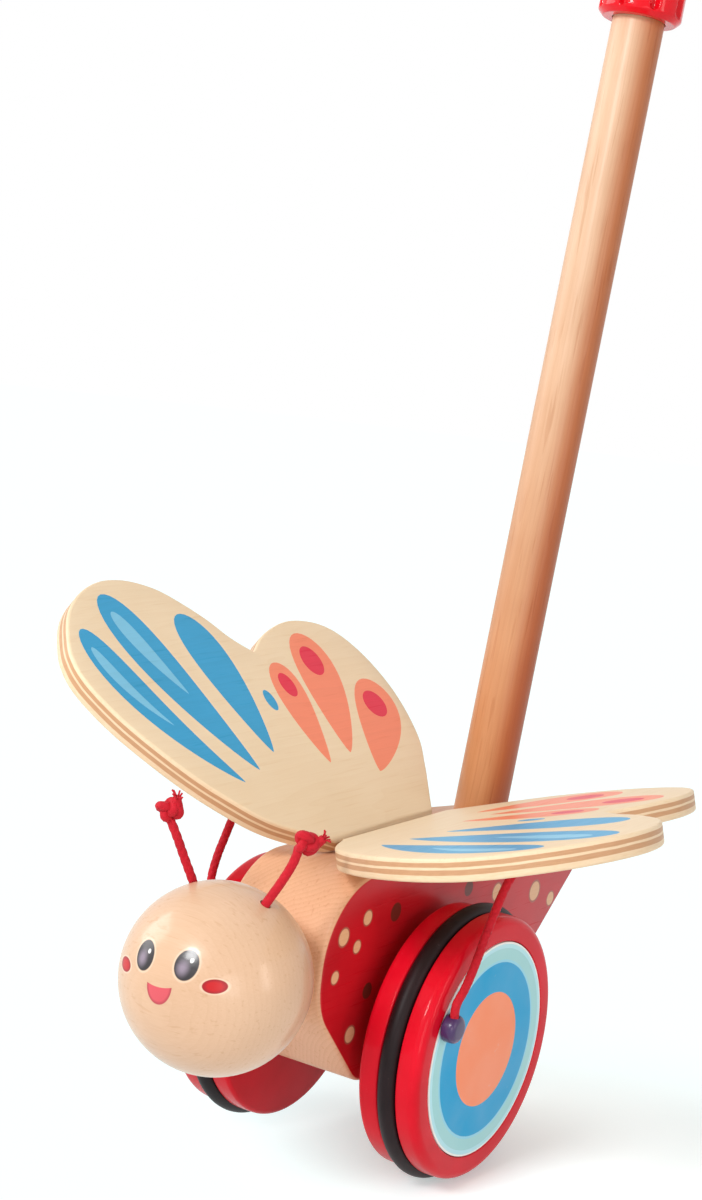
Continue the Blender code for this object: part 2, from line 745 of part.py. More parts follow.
def hinge_matrix(word):
    """A wing's frame: at the hinge axis, turned up to the angle it is posed at."""
    side = SIDES[word]
    turn = Matrix.Rotation(math.radians(-side * WING_ANGLES[word]), 4, "Y")
    return Matrix.Translation((side * HINGE_X, 0.0, HINGE_Z)) @ turn


def edge_cutter_mesh(side):
    """What is cut off a wing's hinge edge to leave it round about the hinge axis."""
    half = WING_THICKNESS / 2
    far = half + OVERRUN
    outline = [(0.0, far), (-far, far), (-far, -far), (0.0, -far)]
    outline += arc((0.0, 0.0), half, 270.0, 90.0, FINE_SIDES)
    length = WING_LENGTH / 2
    mesh = plate_mesh("hinge_edge_cutter", [(side * x, y) for x, y in outline], 2 * length)
    # The outline lies across the hinge, so the plate's own z becomes the wing's y.
    mesh.transform(Matrix.Rotation(math.radians(90), 4, "X"))
    mesh.transform(Matrix.Translation((0.0, HINGE_REAR_Y - length + OVERRUN, 0.0)))
    return mesh


def slot_cutter_mesh(side, place_y):
    """The slot in a wing's underside that takes a hinge eye and its shank as the wing flaps."""
    round_slot = EYE_OUTER + CLEARANCE
    width = EYE_WIRE + 2 * EYE_SIDE_PLAY
    far = WING_THICKNESS / 2 + OVERRUN
    near = EYE_WIRE / 2 + 2 * CLEARANCE
    outline = [(-far, 0.0), (-far, -far), (near, -far), (near, -round_slot)]
    steps = FINE_SIDES
    start = math.degrees(math.asin(-near / round_slot))
    outline += arc((0.0, 0.0), round_slot, 270.0 - start, 540.0, steps)
    mesh = plate_mesh("eye_slot_cutter", [(side * x, y) for x, y in outline], width)
    mesh.transform(Matrix.Rotation(math.radians(90), 4, "X"))
    mesh.transform(Matrix.Translation((0.0, place_y, 0.0)))
    return mesh


def make_wings():
    ply = ((0.83, 0.70, 0.50), 0.5)
    steel = ((0.62, 0.62, 0.63), 0.3, 1.0)
    for word, side in SIDES.items():
        frame = hinge_matrix(word)
        mesh = plate_mesh(f"wing_{word}", wing_outline(side), WING_THICKNESS)
        wing = add_part(f"wing_{word}", mesh, ply, frame)
        edge_bevel(wing, WING_EDGE_ROUND)
        cut(wing, add_cutter(f"hinge_edge_{word}", edge_cutter_mesh(side), frame))
        for end, place in zip(("front", "rear"), eye_places(side)):
            slot = slot_cutter_mesh(side, place.y)
            cut(wing, add_cutter(f"eye_slot_{word}_{end}", slot, frame))

        pin_length = HINGE_REAR_Y - HINGE_FRONT_Y - 2 * OVERRUN
        pin_start = frame @ Vector((0.0, HINGE_FRONT_Y + OVERRUN, 0.0))
        bore_length = pin_length + OVERRUN + WING_LENGTH / 2
        bore_radius = HINGE_PIN_DIAMETER / 2 + CLEARANCE
        bore = cylinder_mesh(f"pin_bore_{word}", bore_radius, bore_length, FINE_SIDES)
        bore_end = pin_start + Vector((0.0, pin_length + CLEARANCE, 0.0))
        cut(wing, add_cutter(f"pin_bore_{word}", bore, along((0.0, -1.0, 0.0), bore_end)))
        pin = cylinder_mesh(f"hinge_pin_{word}", HINGE_PIN_DIAMETER / 2, pin_length, FINE_SIDES)
        add_part(f"hinge_pin_{word}", pin, steel, along((0.0, 1.0, 0.0), pin_start))

        depth = CORD_HOLE_DEPTH + OVERRUN
        hole = cylinder_mesh(f"wing_cord_hole_{word}", CORD_RADIUS + CLEARANCE, depth, FINE_SIDES)
        floor = Vector((side * CORD_HOLE_REACH, -CORD_HOLE_FORWARD, CORD_HOLE_DEPTH - WING_THICKNESS / 2))
        down = along((0.0, 0.0, -1.0), floor)
        cut(wing, add_cutter(f"wing_cord_hole_{word}", hole, frame @ down))
        make_eyes(word, side)


def make_eyes(word, side):
    steel = ((0.62, 0.62, 0.63), 0.3, 1.0)
    ring = torus_mesh("eye_ring", EYE_MIDDLE, EYE_WIRE / 2, SMALL_SIDES, WIRE_SIDES)
    top = HINGE_Z - EYE_MIDDLE
    length = top - BODY_HEIGHT + EYE_SHANK_DEPTH - CLEARANCE
    shank = cylinder_mesh("eye_shank", EYE_WIRE / 2, length, WIRE_SIDES)
    for end, place in zip(("front", "rear"), eye_places(side)):
        name = f"hinge_eye_{word}_{end}"
        eye = add_part(name, ring.copy(), steel, along((0.0, 1.0, 0.0), place))
        foot = (place.x, place.y, top)
        join_on(eye, add_cutter(f"{name}_shank", shank, along((0.0, 0.0, -1.0), foot)))


def make_link_cords():
    red = ((0.72, 0.03, 0.06), 0.8)
    for word, side in SIDES.items():
        frame = hinge_matrix(word)
        peg_y, peg_z = crank_place(word)
        middle = Vector((side * CORD_X, peg_y, peg_z))
        start = middle + peg_cord_axis(word) * CLEARANCE
        underside = -WING_THICKNESS / 2
        hole = Vector((side * CORD_HOLE_REACH, -CORD_HOLE_FORWARD, underside))
        mouth = frame @ hole
        end = frame @ (hole + Vector((0.0, 0.0, CORD_HOLE_DEPTH - CLEARANCE)))
        below = frame @ (hole - Vector((0.0, 0.0, CORD_DIAMETER)))
        route = [start, *LINK_ROUTES[word], below, mouth, end]
        path, length = even_path(route, CORD_POINT_STEP)
        print(f"link_cord_{word} is {length:.4f} m long")
        mesh = tube_mesh(f"link_cord_{word}", path, CORD_RADIUS, 2)
        add_part(f"link_cord_{word}", mesh, red)


# Stick


def stick_mesh(name, length, foot_tenon, head_tenon):
    """A round stick along +Z from the end of its foot tenon to the end of its head tenon."""
    radius = STICK_RADIUS
    tenon = TENON_DIAMETER / 2
    low = foot_tenon
    high = foot_tenon + length
    profile = [(0.0, high + head_tenon)]
    if head_tenon:
        profile += [(tenon, high + head_tenon), (tenon, high), (radius, high)]
    else:
        profile += [(radius - STICK_CHAMFER, high), (radius, high - STICK_CHAMFER)]
    if foot_tenon:
        profile += [(radius, low), (tenon, low), (tenon, 0.0)]
    else:
        profile += [(radius, STICK_CHAMFER), (radius - STICK_CHAMFER, 0.0)]
    profile.append((0.0, 0.0))
    return turned_mesh(name, profile, ROUND_SIDES // 2)


def groove_mesh(name, radius, length):
    """A rod along +Z with round ends, which cuts one groove of the collar."""
    profile = arc((0.0, length - radius), radius, 90.0, 0.0, 2)
    profile += arc((0.0, radius), radius, 0.0, -90.0, 2)
    profile[0] = (0.0, length)
    profile[-1] = (0.0, 0.0)
    return turned_mesh(name, profile, FINE_SIDES)


def make_stick():
    wood = ((0.74, 0.52, 0.33), 0.45)
    red = ((0.75, 0.02, 0.05), 0.25)
    foot = stick_foot()
    seat = COLLAR_SEAT_DEPTH - CLEARANCE
    tenon = COLLAR_LENGTH / 2 - COLLAR_SEAT_DEPTH
    start = -SOCKET_DEPTH + CLEARANCE
    collar_start = LOWER_STICK_SHOWS
    collar_end = collar_start + COLLAR_LENGTH
    knob_start = collar_end + UPPER_STICK_SHOWS

    mesh = stick_mesh("stick_lower", collar_start + seat - start, 0.0, tenon)
    add_part("stick_lower", mesh, wood, along(STICK_AXIS, foot + STICK_AXIS * start))

    collar_place = along(STICK_AXIS, foot + STICK_AXIS * collar_start)
    radius = COLLAR_DIAMETER / 2
    mesh = chamfered_rod("stick_collar", radius, COLLAR_LENGTH, COLLAR_CHAMFER, ROUND_SIDES)
    collar = add_part("stick_collar", mesh, red, collar_place)
    groove = groove_mesh("collar_groove", GROOVE_WIDTH / 2, COLLAR_LENGTH - 2 * COLLAR_RIM)
    reach = Matrix.Translation((radius - GROOVE_DEPTH + GROOVE_WIDTH / 2, 0.0, COLLAR_RIM))
    for number in range(COLLAR_GROOVES):
        turn = Matrix.Rotation(2 * math.pi * number / COLLAR_GROOVES, 4, "Z")
        cut(collar, add_cutter(f"collar_groove_{number + 1}", groove, collar_place @ turn @ reach))
    edge_bevel(collar, GROOVE_EDGE_ROUND)
    stick_bore = STICK_RADIUS + CLEARANCE
    tenon_bore = TENON_DIAMETER / 2 + CLEARANCE
    bore_profile = [
        (0.0, COLLAR_LENGTH + OVERRUN),
        (stick_bore, COLLAR_LENGTH + OVERRUN),
        (stick_bore, COLLAR_LENGTH - COLLAR_SEAT_DEPTH),
        (tenon_bore, COLLAR_LENGTH - COLLAR_SEAT_DEPTH),
        (tenon_bore, COLLAR_SEAT_DEPTH),
        (stick_bore, COLLAR_SEAT_DEPTH),
        (stick_bore, -OVERRUN),
        (0.0, -OVERRUN),
    ]
    bore = turned_mesh("collar_bore", bore_profile, ROUND_SIDES // 2)
    cut(collar, add_cutter("collar_bore", bore, collar_place))

    knob_tenon = KNOB_BORE_DEPTH - CLEARANCE
    length = UPPER_STICK_SHOWS + seat - CLEARANCE
    foot_tenon = tenon - CLEARANCE
    mesh = stick_mesh("stick_upper", length, foot_tenon, knob_tenon)
    base = collar_end - seat - foot_tenon
    add_part("stick_upper", mesh, wood, along(STICK_AXIS, foot + STICK_AXIS * base))

    knob = KNOB_DIAMETER / 2
    flat_angle = math.degrees(math.acos(STICK_RADIUS / knob))
    flat = knob * math.sin(math.radians(flat_angle))
    profile = arc((0.0, flat), knob, 90.0, -flat_angle, BALL_STEPS)
    profile[0] = (0.0, flat + knob)
    profile += [(tenon_bore, 0.0), (tenon_bore, KNOB_BORE_DEPTH), (0.0, KNOB_BORE_DEPTH)]
    mesh = turned_mesh("handle_knob", profile, ROUND_SIDES)
    add_part("handle_knob", mesh, red, along(STICK_AXIS, foot + STICK_AXIS * knob_start))


make_body()
make_head()
make_antennas()
make_wheels()
make_axle()
make_wings()
make_link_cords()
make_stick()
bpy.context.view_layer.update()
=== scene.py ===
from math import acos, asin, atan2, cos, degrees, hypot, pi, radians, sin, sqrt, tan

import bmesh
import bpy
from mathutils import Matrix, Vector
from mathutils.geometry import delaunay_2d_cdt


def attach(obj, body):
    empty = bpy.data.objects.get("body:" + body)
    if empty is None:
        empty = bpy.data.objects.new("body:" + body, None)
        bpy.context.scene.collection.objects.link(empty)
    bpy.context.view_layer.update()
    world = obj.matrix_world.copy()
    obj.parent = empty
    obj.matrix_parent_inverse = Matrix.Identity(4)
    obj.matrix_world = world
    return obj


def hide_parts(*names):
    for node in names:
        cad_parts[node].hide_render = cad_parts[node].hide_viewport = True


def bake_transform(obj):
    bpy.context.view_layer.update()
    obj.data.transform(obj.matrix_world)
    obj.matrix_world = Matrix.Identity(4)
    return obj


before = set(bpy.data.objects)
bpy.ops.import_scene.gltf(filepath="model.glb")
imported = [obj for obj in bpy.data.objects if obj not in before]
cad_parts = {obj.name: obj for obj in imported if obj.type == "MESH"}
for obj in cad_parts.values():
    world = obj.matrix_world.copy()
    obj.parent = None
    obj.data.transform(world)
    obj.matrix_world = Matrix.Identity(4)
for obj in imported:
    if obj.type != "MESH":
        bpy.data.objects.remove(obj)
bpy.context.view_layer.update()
sides = {"left": -1, "right": 1}
across, back, upward = Vector((1, 0, 0)), Vector((0, 1, 0)), Vector((0, 0, 1))
gap = 0.0003  # between pieces that move or are put together


# Shapes

def tint(code):  # a screen colour as the linear colour that a shader takes
    parts = [int(code[i:i + 2], 16) / 255 for i in (1, 3, 5)]
    linear = [p / 12.92 if p <= 0.04045 else ((p + 0.055) / 1.055) ** 2.4 for p in parts]
    return (*linear, 1.0)


def standOn(axis, place):  # local +Z along the axis, origin at the place
    turn = Vector(axis).to_track_quat("Z", "Y").to_matrix().to_4x4()
    return Matrix.Translation(Vector(place)) @ turn


def arcPoints(middle, radius, first, last, steps):
    turns = [radians(first + (last - first) * i / steps) for i in range(steps + 1)]
    return [(middle[0] + radius * cos(t), middle[1] + radius * sin(t)) for t in turns]


def roundCorners(corners, step):
    # corners are (x, y, radius); a radius of 0 leaves the corner sharp
    points = []
    for index, (x, y, radius) in enumerate(corners):
        here = Vector((x, y))
        if radius == 0:
            points.append((x, y))
            continue
        before = (Vector(corners[index - 1][:2]) - here).normalized()
        after = (Vector(corners[(index + 1) % len(corners)][:2]) - here).normalized()
        half = before.angle(after) / 2
        middle = here + (before + after).normalized() * (radius / sin(half))
        start = here + before * (radius / tan(half)) - middle
        end = here + after * (radius / tan(half)) - middle
        first = degrees(atan2(start.y, start.x))
        sweep = degrees(atan2(end.y, end.x)) - first
        sweep = (sweep + 180) % 360 - 180
        points += arcPoints(middle, radius, first, first + sweep, max(2, round(abs(sweep) / step)))
    return points


def smoothLine(points, pieces):
    # a Catmull-Rom curve through the points
    knots = [Vector(point) for point in points]
    ends = [2 * knots[0] - knots[1], *knots, 2 * knots[-1] - knots[-2]]
    line = []
    for a, b, c, d in zip(ends, ends[1:], ends[2:], ends[3:]):
        for step in range(pieces):
            t = step / pieces
            bend = 2 * a - 5 * b + 4 * c - d
            twist = 3 * (b - c) + d - a
            line.append(b + ((c - a) * t + bend * t * t + twist * t ** 3) / 2)
    return line + [knots[-1]]


def evenLine(points, spacing):
    fine = smoothLine(points, 40)
    runs = [0.0]
    for start, end in zip(fine, fine[1:]):
        runs.append(runs[-1] + (end - start).length)
    count = max(2, round(runs[-1] / spacing))
    line, place = [], 0
    for step in range(count + 1):
        want = runs[-1] * step / count
        while place < len(fine) - 2 and runs[place + 1] < want:
            place += 1
        share = (want - runs[place]) / (runs[place + 1] - runs[place])
        line.append(fine[place].lerp(fine[place + 1], min(1.0, share)))
    return line


def lineLength(line):
    return sum((end - start).length for start, end in zip(line, line[1:]))


def finishMesh(shape):
    bmesh.ops.recalc_face_normals(shape, faces=shape.faces)
    mesh = bpy.data.meshes.new("shape")
    shape.to_mesh(mesh)
    shape.free()
    return mesh


def latheMesh(profile, steps):
    # (radius, height) points turned round +Z, from the top down the outer side; off the axis, they close to a ring
    shape = bmesh.new()
    turns = [2 * pi * i / steps for i in range(steps)]
    rings = []
    for radius, height in profile:
        spots = [(0.0, 0.0)] if radius < 1e-7 else [(cos(t), sin(t)) for t in turns]
        rings.append([shape.verts.new((radius * x, radius * y, height)) for x, y in spots])
    if len(rings[0]) > 1:
        rings.append(rings[0])
    for upper, lower in zip(rings, rings[1:]):
        for i in range(steps):
            j = (i + 1) % steps
            corners = [upper[i % len(upper)], lower[i % len(lower)], lower[j % len(lower)], upper[j % len(upper)]]
            corners = list(dict.fromkeys(corners))
            if len(corners) > 2:
                shape.faces.new(corners)
    return finishMesh(shape)


def joinLoops(shape, loops):
    # side faces between each closed loop of points and the next
    for low, high in zip(loops, loops[1:]):
        for i in range(len(low)):
            j = (i + 1) % len(low)
            shape.faces.new((low[i], low[j], high[j], high[i]))


def sweepMesh(line, radius, around, relief=None):
    # a tube along a line; relief(turn, distance) adds to its radius
    shape = bmesh.new()
    rings, run, normal = [], 0.0, None
    for index, point in enumerate(line):
        ahead = (line[min(index + 1, len(line) - 1)] - line[max(index - 1, 0)]).normalized()
        if normal is None:
            normal = ahead.orthogonal().normalized()
        else:
            normal = (normal - ahead * normal.dot(ahead)).normalized()
            run += (point - line[index - 1]).length
        beside = ahead.cross(normal)
        rings.append([])
        for k in range(around):
            turn = 2 * pi * k / around
            reach = radius + (relief(turn, run) if relief else 0.0)
            rings[-1].append(shape.verts.new(point + (normal * cos(turn) + beside * sin(turn)) * reach))
    joinLoops(shape, rings)
    shape.faces.new(rings[0])
    shape.faces.new(rings[-1])
    return finishMesh(shape)


def plateMesh(outline, thickness):
    # a closed outline in local XY with flat faces above and below
    shape = bmesh.new()
    loops = [[shape.verts.new((x, y, z)) for x, y in outline] for z in (-thickness / 2, thickness / 2)]
    for loop in loops:
        shape.faces.new(loop)
    joinLoops(shape, loops)
    return finishMesh(shape)


def addObject(name, data):
    holder = bpy.data.objects.new(name, data)
    bpy.context.scene.collection.objects.link(holder)
    return holder


def addPiece(name, mesh, finish, place=None, body="chassis", node=None, replaces=True, sharp=35):
    # the name is the node's with one more word
    node = node or name.rsplit("_", 1)[0]
    piece = addObject(name, mesh)
    for material in finish if isinstance(finish, list) else [finish]:
        mesh.materials.append(material)
    mesh.shade_smooth()
    mesh.set_sharp_from_angle(angle=radians(sharp))
    piece.matrix_world = place or Matrix()
    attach(piece, body)
    if replaces:
        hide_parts(node)
    return piece


def turned(name, corners, steps, finish, place, body="chassis"):
    return addPiece(name, latheMesh(roundCorners(corners, 15.0), steps), finish, place, body)


def cutOut(piece, cutters, bevel=None):
    # takes the cutters, as (mesh, place in the world), out of a piece for good
    holders = []
    if bevel:
        edges = piece.modifiers.new("edges", "BEVEL")
        edges.width, edges.segments = bevel
        edges.limit_method = "ANGLE"
        edges.angle_limit = radians(50)
    for mesh, place in cutters:
        holders.append(addObject("cutter", mesh))
        holders[-1].matrix_world = place
        hole = piece.modifiers.new("hole", "BOOLEAN")
        hole.object, hole.operation, hole.solver = holders[-1], "DIFFERENCE", "EXACT"
    bpy.context.view_layer.update()
    done = bpy.data.meshes.new_from_object(piece.evaluated_get(bpy.context.evaluated_depsgraph_get()))
    piece.modifiers.clear()
    piece.data = done
    done.shade_smooth()
    done.set_sharp_from_angle(angle=radians(35))
    for holder in holders:
        bpy.data.objects.remove(holder, do_unlink=True)


def rodCutter(radius, length, axis, start, steps=32):
    # long enough to run past the surface that it opens
    profile = [(0.0, length), (radius, length), (radius, 0.0), (0.0, 0.0)]
    return latheMesh(profile, steps), standOn(axis, start)


# Shader nodes

def put(kind, inputs, tree=None, **settings):
    # a node whose inputs are sockets to link from, colour codes or plain values; a socket tells the tree
    sockets = {key: value for key, value in inputs.items() if isinstance(value, bpy.types.NodeSocket)}
    tree = tree or next(iter(sockets.values())).id_data
    node = tree.nodes.new(f"ShaderNode{kind}")
    for key, value in settings.items():
        setattr(node, key, value)
    for key, value in inputs.items():
        if key in sockets:
            tree.links.new(value, node.inputs[key])
        else:
            node.inputs[key].default_value = tint(value) if isinstance(value, str) else value
    return node


def maths(operation, *values, clamp=False):
    return put("Math", dict(enumerate(values)), operation=operation, use_clamp=clamp).outputs[0]


def vectors(operation, *values):
    node = put("VectorMath", dict(enumerate(values)), operation=operation)
    return node.outputs["Value" if operation in ("LENGTH", "DOT_PRODUCT") else 0]


def mix(share, first, second, blend="MIX"):
    node = put("Mix", {0: share, 6: first, 7: second}, data_type="RGBA", blend_type=blend)
    return node.outputs[2]


def mask(value, low, high):
    # rises smoothly from 0 at low to 1 at high
    ends = {"Value": value, "From Min": low, "From Max": high}
    return put("MapRange", ends, interpolation_type="SMOOTHSTEP").outputs[0]


def noise(place, scale, detail, roughness=0.5):
    # the scale is one number, or one for each axis
    if isinstance(scale, tuple):
        place, scale = vectors("MULTIPLY", place, scale), 1.0
    inputs = {"Vector": place, "Scale": scale, "Detail": detail, "Roughness": roughness}
    return put("TexNoise", inputs).outputs["Fac"]


def split(vector):
    return put("SeparateXYZ", {0: vector}).outputs


def flatten(first, second):
    return put("CombineXYZ", {0: first, 1: second}).outputs[0]


def objectPlace(tree):
    return put("TexCoord", {}, tree).outputs["Object"]


# Effects that several materials share

def newGroup(name, inputs, outputs):
    # inputs and outputs give each socket's kind by its label
    group = bpy.data.node_groups.new(name, "ShaderNodeTree")
    for way, labels in (("INPUT", inputs), ("OUTPUT", outputs)):
        for label, kind in labels.items():
            group.interface.new_socket(label, in_out=way, socket_type=f"NodeSocket{kind}")
    return group, group.nodes.new("NodeGroupInput").outputs, group.nodes.new("NodeGroupOutput").inputs


def giveOut(group, end, **values):
    for label, value in values.items():
        group.links.new(value, end[label])
    return group


def makeWoodGrain():
    # growth rings round a pith line that runs along local Z, and fine fibres
    inputs = {"Vector": "Vector", "Pith": "Vector", "Ring Spacing": "Float", "Waviness": "Float",
              "Ring Strength": "Float", "Light": "Color", "Dark": "Color"}
    group, start, end = newGroup("woodGrain", inputs, {"Color": "Color", "Height": "Float", "Roughness": "Float"})
    place = start["Vector"]
    fromPith = vectors("MULTIPLY", vectors("SUBTRACT", place, start["Pith"]), (1, 1, 0))
    count = maths("DIVIDE", vectors("LENGTH", fromPith), start["Ring Spacing"])
    sway = maths("MULTIPLY", noise(place, (60, 60, 9), 2), start["Waviness"])
    ring = maths("FRACT", maths("MULTIPLY_ADD", sway, 4.0, count))
    fibre = noise(place, (2600, 2600, 70), 3, 0.6)
    pores = mask(noise(place, (900, 900, 45), 1), 0.62, 0.72)
    late = maths("POWER", ring, 2.2)
    share = maths("MULTIPLY", late, maths("MULTIPLY", start["Ring Strength"], 0.26))
    for layer, weight in ((fibre, 0.34), (noise(place, 28, 2), 0.55), (pores, 0.2)):
        share = maths("MULTIPLY_ADD", layer, weight, share)
    share = maths("SUBTRACT", share, 0.22, clamp=True)
    return giveOut(
        group, end, Color=mix(share, start["Light"], start["Dark"]),
        Height=maths("MULTIPLY_ADD", pores, -0.6, maths("MULTIPLY", fibre, 0.35)),
        Roughness=maths("MULTIPLY_ADD", fibre, 0.16, maths("MULTIPLY", pores, 0.12)),
    )


def makeHandling():
    # faint mottling, orange peel and small scuffs of a toy in use
    outputs = dict.fromkeys(("Mottle", "Scuff", "Height", "Roughness"), "Float")
    group, start, end = newGroup("handling", {"Vector": "Vector", "Scuffs": "Float", "Roughness": "Float"}, outputs)
    place = start["Vector"]
    cloud, peel = noise(place, 45, 3), noise(place, 900, 2)
    marks = mask(noise(place, 210, 6, 0.75), 0.63, 0.7)
    scuff = maths("MULTIPLY", marks, start["Scuffs"])
    rough = maths("MULTIPLY_ADD", cloud, 0.12, start["Roughness"])
    return giveOut(
        group, end, Mottle=mask(cloud, 0.3, 0.7), Scuff=scuff,
        Height=maths("MULTIPLY_ADD", scuff, -0.5, maths("MULTIPLY", peel, 0.5)),
        Roughness=maths("MULTIPLY_ADD", scuff, 0.25, rough),
    )


def makeOvalMark():
    # how far a point lies from the middle of a printed oval: 1 at its border
    inputs = dict.fromkeys(("Vector", "Middle", "Reach"), "Vector")
    group, start, end = newGroup("ovalMark", inputs, {"Distance": "Float"})
    scaled = vectors("DIVIDE", vectors("SUBTRACT", start["Vector"], start["Middle"]), start["Reach"])
    return giveOut(group, end, Distance=vectors("LENGTH", vectors("MULTIPLY", scaled, (1, 1, 0))))


woodGrain = makeWoodGrain()
handling = makeHandling()
ovalMark = makeOvalMark()


def useGroup(group, inputs):
    return put("Group", inputs, node_tree=group).outputs


def grainOf(place, wood):
    if any(wood["turn"]):
        turn = [radians(angle) for angle in wood["turn"]]
        place = put("Mapping", {"Vector": place, "Rotation": turn}).outputs[0]
    return useGroup(woodGrain, {
        "Vector": place, "Pith": wood["pith"], "Ring Spacing": wood["rings"], "Waviness": wood["waviness"],
        "Ring Strength": wood["ringStrength"], "Light": wood["light"], "Dark": wood["dark"],
    })


def wearOf(place, scuffs, roughness):
    return useGroup(handling, {"Vector": place, "Scuffs": scuffs, "Roughness": roughness})


def fromOval(place, middle, reach):
    inputs = {"Vector": place, "Middle": (*middle, 0.0), "Reach": (*reach, 1.0)}
    return useGroup(ovalMark, inputs)["Distance"]


# Materials

def newMaterial(name, **settings):
    # returns a material with constants on its shader, and the socket of the place on the object
    material = bpy.data.materials.new(name)
    material.use_nodes = True
    shader = material.node_tree.nodes["Principled BSDF"].inputs
    for key, value in settings.items():
        shader[key.replace("_", " ")].default_value = value
    return material, objectPlace(material.node_tree)


def dress(material, color, rough, height, depth, strength, **more):
    # links a look to the material's shader, with its relief as bump; a pair of roughnesses is added up
    tree = material.node_tree
    if isinstance(rough, tuple):
        rough = maths("ADD", *rough)
    bump = put("Bump", {"Height": height, "Distance": depth, "Strength": strength}).outputs[0]
    for key, value in dict(Base_Color=color, Roughness=rough, Normal=bump, **more).items():
        tree.links.new(value, tree.nodes["Principled BSDF"].inputs[key.replace("_", " ")])
    return material


def woodFinish(name, wood):
    material, place = newMaterial(name, Coat_Weight=wood["lacquer"], Coat_Roughness=0.25, Specular_IOR_Level=0.35)
    grain = grainOf(place, wood)
    color = grain["Color"]
    if "foot" in wood:  # darker toward the foot, and a painted shade down the side turned away from the lamps
        color = mix(mask(split(place)["Z"], *wood["footFade"]), color, wood["foot"], "MULTIPLY")
        towardShade = standOn(stickAxis, (0, 0, 0)).to_3x3().inverted() @ Vector(wood["paintedShadeSide"])
        towardShade.z = 0.0
        beside = vectors("DOT_PRODUCT", place, towardShade)
        color = mix(mask(beside, *wood["paintedShadeFade"]), color, wood["paintedShade"], "MULTIPLY")
    return dress(material, color, (grain["Roughness"], wood["roughness"]), grain["Height"], 0.00012, 0.4)


def coatFinish(name, coat):
    # paint, plastic, rubber or steel: one colour with mottling and scuffs
    material, place = newMaterial(
        name, Coat_Weight=coat.get("coat", 0.0), Coat_Roughness=0.06, Metallic=coat.get("metallic", 0.0),
        Specular_IOR_Level=coat.get("specular", 0.4), Coat_IOR=1.35,
    )
    marks = wearOf(place, coat.get("scuffs", 0.3), coat["roughness"])
    color = mix(marks["Mottle"], coat["color"], coat["shade"])
    color = mix(marks["Scuff"], color, coat["worn"])
    return dress(material, color, marks["Roughness"], marks["Height"], coat.get("relief", 0.00003), 0.35)


coats = {
    "redPaint": {"color": "#de0f28", "shade": "#d00c22", "worn": "#e2606a", "roughness": 0.3, "coat": 0.32,
                 "scuffs": 0.12, "specular": 0.05},
    "redPlastic": {"color": "#e40c1e", "shade": "#d80a1a", "worn": "#e8606a", "roughness": 0.2, "coat": 0.7,
                   "scuffs": 0.06, "specular": 0.05},
    "rubber": {"color": "#26161a", "shade": "#190e10", "worn": "#4c3c3e", "roughness": 0.42, "scuffs": 0.5,
               "relief": 0.00006, "specular": 0.18},
    "purplePlastic": {"color": "#4a2f63", "shade": "#3a2350", "worn": "#7a6390", "roughness": 0.25, "coat": 0.3},
    "spacerPlastic": {"color": "#dcd6c8", "shade": "#cfc8b8", "worn": "#efeae0", "roughness": 0.4},
    "steel": {"color": "#b9b9bb", "shade": "#a4a4a8", "worn": "#d8d8da", "roughness": 0.22, "metallic": 1.0},
}
finishes = {name: coatFinish(name, coat) for name, coat in coats.items()}
print("shared finishes made")


# Camera, floor and lights

stage = {
    "cameraPlace": (0.37545, -0.64619, 0.25844), "cameraAim": (-0.02207, 0.0, 0.136727),
    "cameraRoll": 6.828, "cameraLens": 75.287, "floorHeight": -0.031, "worldLight": 0.42,
    "shadow": {"middle": (0.07, 0.055, 0.0), "fade": (0.045, 0.14), "cool": 1.08},
    "glow": {"near": 0.26, "rise": 0.84, "color": (0.9, 1.0, 1.0, 1.0)},
    "lamps": {  # place, aim, size, power and colour
        "keyLamp": ((-0.12, -1.5, 1.15), (0, 0, 0.05), (0.42, 0.42), 20.0, (1, 1, 1)),
        "leftLamp": ((-1.35, -0.4, 0.7), (0, 0, 0.08), (0.8, 0.8), 8.5, (1, 1, 1)),
        "frontLamp": ((0.95, -0.9, 0.22), (0, 0, 0), (0.6, 0.6), 3.4, (1, 0.97, 0.94)),
        "sideLamp": ((1.2, 0.04, 0.36), (0, 0, 0.08), (0.2, 0.6), 1.9, (1, 0.9, 0.82)),
        "topLamp": ((0.0, 0.2, 1.3), (0, 0, 0.05), (0.9, 0.9), 1.5, (1, 1, 1)),
    },
}


def makeCamera():
    place, aim = Vector(stage["cameraPlace"]), Vector(stage["cameraAim"])
    data = bpy.data.cameras.new("photoCamera")
    data.lens, data.sensor_width, data.clip_start = stage["cameraLens"], 36.0, 0.02
    camera = addObject("photoCamera", data)
    camera.matrix_world = standOn(place - aim, place) @ Matrix.Rotation(radians(stage["cameraRoll"]), 4, "Z")
    bpy.context.scene.camera = camera


def seenDirectly(tree):
    # 1 for camera, mirror and glass rays, 0 for light that falls on things
    path = put("LightPath", {}, tree).outputs
    seen = maths("MAXIMUM", path["Is Camera Ray"], path["Is Glossy Ray"])
    return maths("MAXIMUM", seen, path["Is Transmission Ray"])


